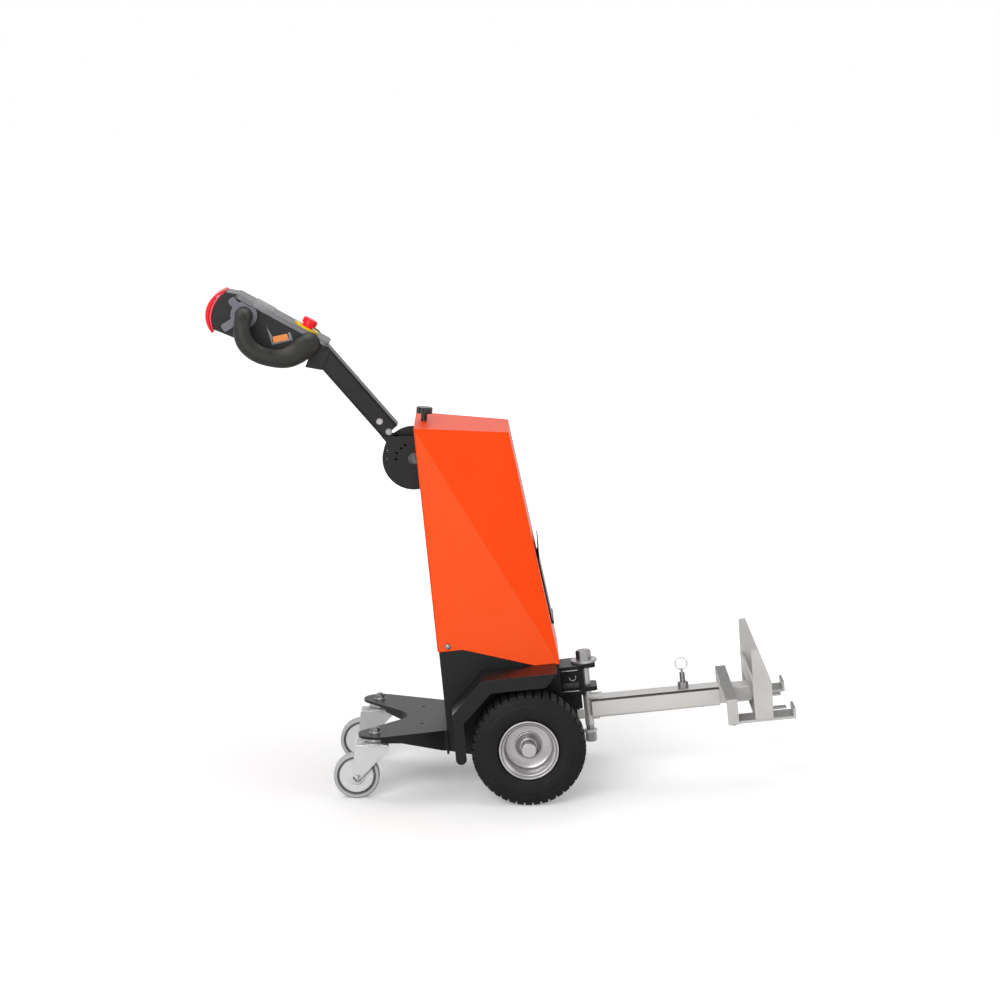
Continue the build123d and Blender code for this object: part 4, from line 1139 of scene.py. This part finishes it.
@dataclass
class Drawbar:
    """Drawbar, sliding tube and cart coupler."""

    plain_nodes: tuple[str, ...] = ("inner_tube", "coupler_prongs", "stop_plate")
    rail_nodes: tuple[str, ...] = ("cross_bar", "coupler_base")
    ring_foot: float = 92.6
    tube_start: float = 150.0
    corner_up: Flat = (0.2, 0.95)
    corner_out: float = 0.3
    level: float = 0.9

    def build(self) -> None:
        """Dresses the nodes of drawbar and coupler."""
        place = FRAMES.chassis()
        low, high = self.corner_up
        made = dress("drawbar", (("drawbar_tube", STAINLESS, "bare_steel", 0.4),
                                 ("index_plunger", NUT_STEEL, "zinc_steel", 0.3)))
        # Painted reflection: the upper rounded corners of the tube take a dark line
        tint(made["drawbar_tube"], TUBE_EDGE_REFLECTION, place, lambda middle, normal: (
            middle.x > self.tube_start and low < normal.z < high
            and abs(normal.y) > self.corner_out))
        tint(made["index_plunger"], ZINC, place,
             lambda middle, normal: middle.z > self.ring_foot)
        sheets = dress("coupler", ((node, SHEET_STEEL, "bare_steel", 0.5)
                                   for node in (*self.plain_nodes, *self.rail_nodes)))
        # Painted shade: the faces that look up on cross bar and coupler base take a darker grey
        for node in self.rail_nodes:
            tint(sheets[node], RAIL_TOP_SHADE, place, lambda middle, normal: normal.z > self.level)


@dataclass
class HandControl:
    """Arm and hand control."""

    half: float = 48.0
    shell_half: float = 40.0
    bezel: float = 10.0
    bezel_edge: float = 0.6
    insert: Flat = (-187.0, -140.0)
    # Half outline of the insert across the control: inset from its side, height
    insert_outline: tuple[Flat, ...] = ((0.0, -9.0), (0.0, 0.4), (3.0, 1.8))
    insert_proud: float = 0.7
    # Corners of the frame round a side button, from its rear end round below to the front
    frame_outside: tuple[Flat, ...] = (
        (-139.5, -34.0), (-109.3, -64.5), (-74.0, -33.0), (-86.5, -20.0))
    frame_inside: tuple[Flat, ...] = (
        (-119.0, -46.0), (-111.5, -58.5), (-84.5, -31.5), (-91.5, -23.0))
    frame_rise: float = 2.3
    switch_half: float = 39.0
    switch_gap: float = 1.1
    switch_share: float = 0.36
    switch_points: int = 18
    # Three points of each face: upper end, middle, lower end
    switch_outside: tuple[Flat, Flat, Flat] = ((-257.0, -7.0), (-276.5, -48.5), (-237.0, -106.0))
    switch_inside: tuple[Flat, Flat, Flat] = ((-253.6, -8.6), (-262.4, -53.0), (-238.0, -98.5))

    def shell(self) -> None:
        """Housing with its lighter bezel, split by height in the control's frame."""
        made = dressed("tiller_head", HEAD_SHELL, "tiller", "head_plastic", 0.5)
        tint(made, HEAD_PANEL, FRAMES.head(),
             lambda middle, normal: middle.z > -self.bezel - self.bezel_edge)

    def bezel_insert(self) -> None:
        """Raised insert that wraps the bezel from side to side."""
        rear, front = self.insert
        half = self.half + self.insert_proud
        near = [(half - inset, height) for inset, height in self.insert_outline]
        far = [(-y, height) for y, height in reversed(near)]
        shape = prism([far[-1], *near, *far[:-1]], -front, -rear, 0.8)
        turn = Matrix.Rotation(math.radians(90), 4, "Z")
        mesh = to_mesh("insert", shape, FRAMES.head() @ turn)
        piece("bezel_insert", mesh, HEAD_PATCH, "tiller", "head_plastic")

    def button_frames(self) -> None:
        """Three raised bars round the rocker button on each side."""
        bars = []
        corners = list(zip(self.frame_outside, self.frame_inside))
        for side in Side:
            near = side.value * (self.shell_half - 0.5)
            for (start, start_in), (end, end_in) in zip(corners, corners[1:]):
                bars.append(prism([start, end, end_in, start_in], near,
                                  near + side.value * self.frame_rise, 0.6))
        mesh = to_mesh("frames", joined(bars), FRAMES.head())
        piece("button_frames", mesh, HEAD_PATCH, "tiller", "head_plastic")

    def belly_layers(self) -> None:
        """Switch bar at the rear end as a moulded bar on a lighter rim."""
        outer = self.arc(*self.switch_outside, self.switch_points)
        inner = self.arc(*self.switch_inside, self.switch_points)
        first = [self.between(a, b, self.switch_share) for a, b in zip(inner, outer)]
        second = [self.away(a, b, self.switch_gap) for a, b in zip(first, outer)]
        for name, inside, outside, finish, half in (
                ("belly_rim", inner, first, RED_RIM, self.switch_half - 0.8),
                ("belly_bar", second, outer, RED, self.switch_half)):
            shape = prism([*inside, *reversed(outside)], -half, half, 0.9)
            mesh = to_mesh(name, shape, FRAMES.head())
            flatten(piece(name, mesh, finish, "tiller", "red_plastic", ["belly_switch"]))

    @staticmethod
    def arc(start: Flat, middle: Flat, end: Flat, count: int) -> list[Flat]:
        """Points of the circle through three points.

        Args:
            start: first point.
            middle: point between them.
            end: last point.
            count: number of points.

        Returns:
            The points in order.
        """
        (ax, ay), (bx, by), (cx, cy) = start, middle, end
        d = 2 * (ax * (by - cy) + bx * (cy - ay) + cx * (ay - by))
        a2, b2, c2 = ax * ax + ay * ay, bx * bx + by * by, cx * cx + cy * cy
        x = (a2 * (by - cy) + b2 * (cy - ay) + c2 * (ay - by)) / d
        y = (a2 * (cx - bx) + b2 * (ax - cx) + c2 * (bx - ax)) / d
        radius = math.hypot(ax - x, ay - y)
        first = math.atan2(ay - y, ax - x) % math.tau
        last = math.atan2(cy - y, cx - x) % math.tau
        turns = (first + (last - first) * step / (count - 1) for step in range(count))
        return [(x + radius * math.cos(turn), y + radius * math.sin(turn)) for turn in turns]

    @staticmethod
    def between(first: Flat, second: Flat, share: float) -> Flat:
        """Point at a share of the way between two points."""
        return (first[0] + (second[0] - first[0]) * share,
                first[1] + (second[1] - first[1]) * share)

    @staticmethod
    def away(first: Flat, second: Flat, distance: float) -> Flat:
        """Point at a distance from the first point towards the second."""
        step = Vector(second) - Vector(first)
        return tuple(Vector(first) + step.normalized() * min(distance, step.length * 0.6))

    def build(self) -> None:
        """Dresses the nodes of the tiller and adds the control's details."""
        dress("tiller", (
            ("tiller_arm", ARM_COAT, "black_paint", 0.5),
            ("head_bracket", BLACK_COAT, "black_paint", 0.8),
            ("hand_grips", GRIP, "grip_plastic", 0.0),
            ("thumb_levers", LEVER, "lever_plastic", 1.8),
            ("horn_buttons", ORANGE_BUTTON, "orange_plastic", 0.6),
            ("stop_ring", YELLOW, "yellow_plastic", 0.0),
            ("stop_button", RED, "red_plastic", 0.0)))
        self.shell()
        self.bezel_insert()
        self.button_frames()
        self.belly_layers()


@dataclass
class Fasteners:
    """Visible bolts, placed in the frames of chassis and tiller."""

    cover_at: tuple[Point, ...] = ((-157.0, 132.0, 227.0),)
    arm_at: tuple[Point, ...] = ((-82.0, 30.0, -2.0), (-113.0, 30.0, -2.0))
    leg_at: tuple[Point, ...] = ((460.0, 150.0, -8.0),)

    def build(self) -> None:
        """Makes the bolts, one piece for each body and kind."""
        chassis, tiller = FRAMES.chassis(), FRAMES.tiller()
        out, down = (0, 1, 0), (0, 0, -1)
        for bolts, place, points, along in (
                (BoltSet("cover_bolts", BoltHead.DOME, 7.0, "chassis"), chassis,
                 self.cover_at, out),
                (BoltSet("arm_bolts", BoltHead.HEX, 6.0, "tiller"), tiller, self.arm_at, out),
                (BoltSet("leg_bolts", BoltHead.HEX, 5.0, "coupler"), chassis, self.leg_at, down)):
            for side in Side:
                for x, y, z in points:
                    bolts.add(place, (x, side.value * y, z),
                              (along[0], side.value * along[1], along[2]))
            bolts.build()


@dataclass(frozen=True)
class Lamp:
    """A square soft lamp that points at the machine."""

    name: str
    at: Point
    size: float
    power: float
    aim: Point = (0.0, 0.0, 0.4)

    def build(self) -> None:
        """Adds the lamp to the scene."""
        light = bpy.data.lights.new(self.name, "AREA")
        light.shape = "SQUARE"
        light.size = self.size
        light.energy = self.power
        made = bpy.data.objects.new(self.name, light)
        bpy.context.scene.collection.objects.link(made)
        made.location = self.at
        look = Vector(self.aim) - Vector(self.at)
        made.rotation_euler = look.to_track_quat("-Z", "Y").to_euler()


@dataclass(frozen=True)
class Studio:
    """Floor, light and camera."""

    camera_at: Point = (-0.0374, -6.421, 1.758)
    azimuth: float = 0.3
    elevation: float = 9.84
    lens: float = 104.4
    sensor: float = 36.0
    floor_reach: float = 30.0
    floor_seen: float = 0.88
    floor_bounce: float = 0.25
    floor_roughness: float = 0.9
    floor_specular: float = 0.1
    # The floor glows less round the machine, so that its shadow shows
    glow_centre: Point = (-0.3, 0.0, 0.0)
    glow_radius: float = 2.6
    glow_least: float = 0.15
    glow_rise: float = 0.66
    world_light: float = 0.3
    # The sky that shiny faces mirror darkens upwards between these heights
    sky_span: Flat = (0.35, 0.85)
    sky_level: float = 0.95
    sky_fall: float = 0.6
    lamps: tuple[Lamp, ...] = (
        Lamp("key", (-2.2, 1.2, 4.6), 3.0, 48.0), Lamp("front", (-2.0, -5.7, 2.9), 4.0, 340.0),
        Lamp("side", (4.5, -2.0, 2.6), 3.0, 35.0), Lamp("rear", (0.6, 3.6, 5.0), 3.0, 50.0))

    def floor(self) -> None:
        """Pale floor that keeps the shadows."""
        mesh = bpy.data.meshes.new("floor")
        far = self.floor_reach
        mesh.from_pydata([(-far, -far, 0), (far, -far, 0), (far, far, 0), (-far, far, 0)],
                         [], [(0, 1, 2, 3)])
        plane = bpy.data.objects.new("floor", mesh)
        bpy.context.scene.collection.objects.link(plane)
        made = bpy.data.materials.new("floor")
        made.use_nodes = True
        graph = Graph(made.node_tree)
        shader = made.node_tree.nodes["Principled BSDF"]
        shader.inputs["Roughness"].default_value = self.floor_roughness
        shader.inputs["Specular IOR Level"].default_value = self.floor_specular
        shader.inputs["Emission Color"].default_value = WHITE
        path = graph.add("ShaderNodeLightPath")
        seen = graph.math("MAXIMUM", path.outputs["Is Camera Ray"], path.outputs["Is Glossy Ray"])
        pale = graph.mix(seen, grey(self.floor_bounce), grey(self.floor_seen))
        place = graph.add("ShaderNodeTexCoord").outputs["Object"]
        away = graph.add("ShaderNodeVectorMath", {0: place, 1: self.glow_centre},
                         operation="DISTANCE").outputs["Value"]
        glow = graph.math("MULTIPLY_ADD", graph.ramp(away, 0.0, self.glow_radius),
                          self.glow_rise, self.glow_least)
        for value, name in ((pale, "Base Color"),
                            (graph.math("MULTIPLY", seen, glow), "Emission Strength")):
            made.node_tree.links.new(value, shader.inputs[name])
        mesh.materials.append(made)

    def world(self) -> None:
        """White surroundings that light the machine softly."""
        world = bpy.data.worlds.new("studio")
        bpy.context.scene.world = world
        world.use_nodes = True
        graph = Graph(world.node_tree)
        back = world.node_tree.nodes["Background"]
        back.inputs["Color"].default_value = WHITE
        path = graph.add("ShaderNodeLightPath")
        seen = graph.math("MAXIMUM", path.outputs["Is Camera Ray"],
                          path.outputs["Is Transmission Ray"])
        direction = graph.add("ShaderNodeTexCoord").outputs["Generated"]
        up = graph.add("ShaderNodeSeparateXYZ", {0: direction}).outputs["Z"]
        sky = graph.math("MULTIPLY_ADD", graph.ramp(up, *self.sky_span), -self.sky_fall,
                         self.sky_level)
        mirrored = graph.math("MULTIPLY", path.outputs["Is Glossy Ray"],
                              graph.math("SUBTRACT", sky, self.world_light))
        strength = graph.math("MULTIPLY_ADD", seen, 1.0 - self.world_light, self.world_light)
        world.node_tree.links.new(graph.math("ADD", strength, mirrored), back.inputs["Strength"])

    def camera(self) -> None:
        """Camera at the photograph's place."""
        data = bpy.data.cameras.new("camera")
        data.lens = self.lens
        data.sensor_width = self.sensor
        made = bpy.data.objects.new("camera", data)
        bpy.context.scene.collection.objects.link(made)
        made.location = self.camera_at
        made.rotation_euler = (math.radians(90 - self.elevation), 0, math.radians(-self.azimuth))
        bpy.context.scene.camera = made

    def build(self) -> None:
        """Sets up floor, light and camera."""
        bpy.context.scene.view_settings.view_transform = "Standard"
        self.floor()
        self.world()
        for lamp in self.lamps:
            lamp.build()
        self.camera()


def main() -> None:
    """Builds the stage and each assembly."""
    logging.basicConfig(level=logging.INFO, format="%(name)s: %(message)s")
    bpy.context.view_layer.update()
    for assembly in (Studio(), Cover(), DriveTyre(), Chassis(), Wheels(), Drawbar(),
                     HandControl(), Fasteners()):
        log.info("%s", type(assembly).__name__)
        assembly.build()


if __name__ == "__main__":
    main()
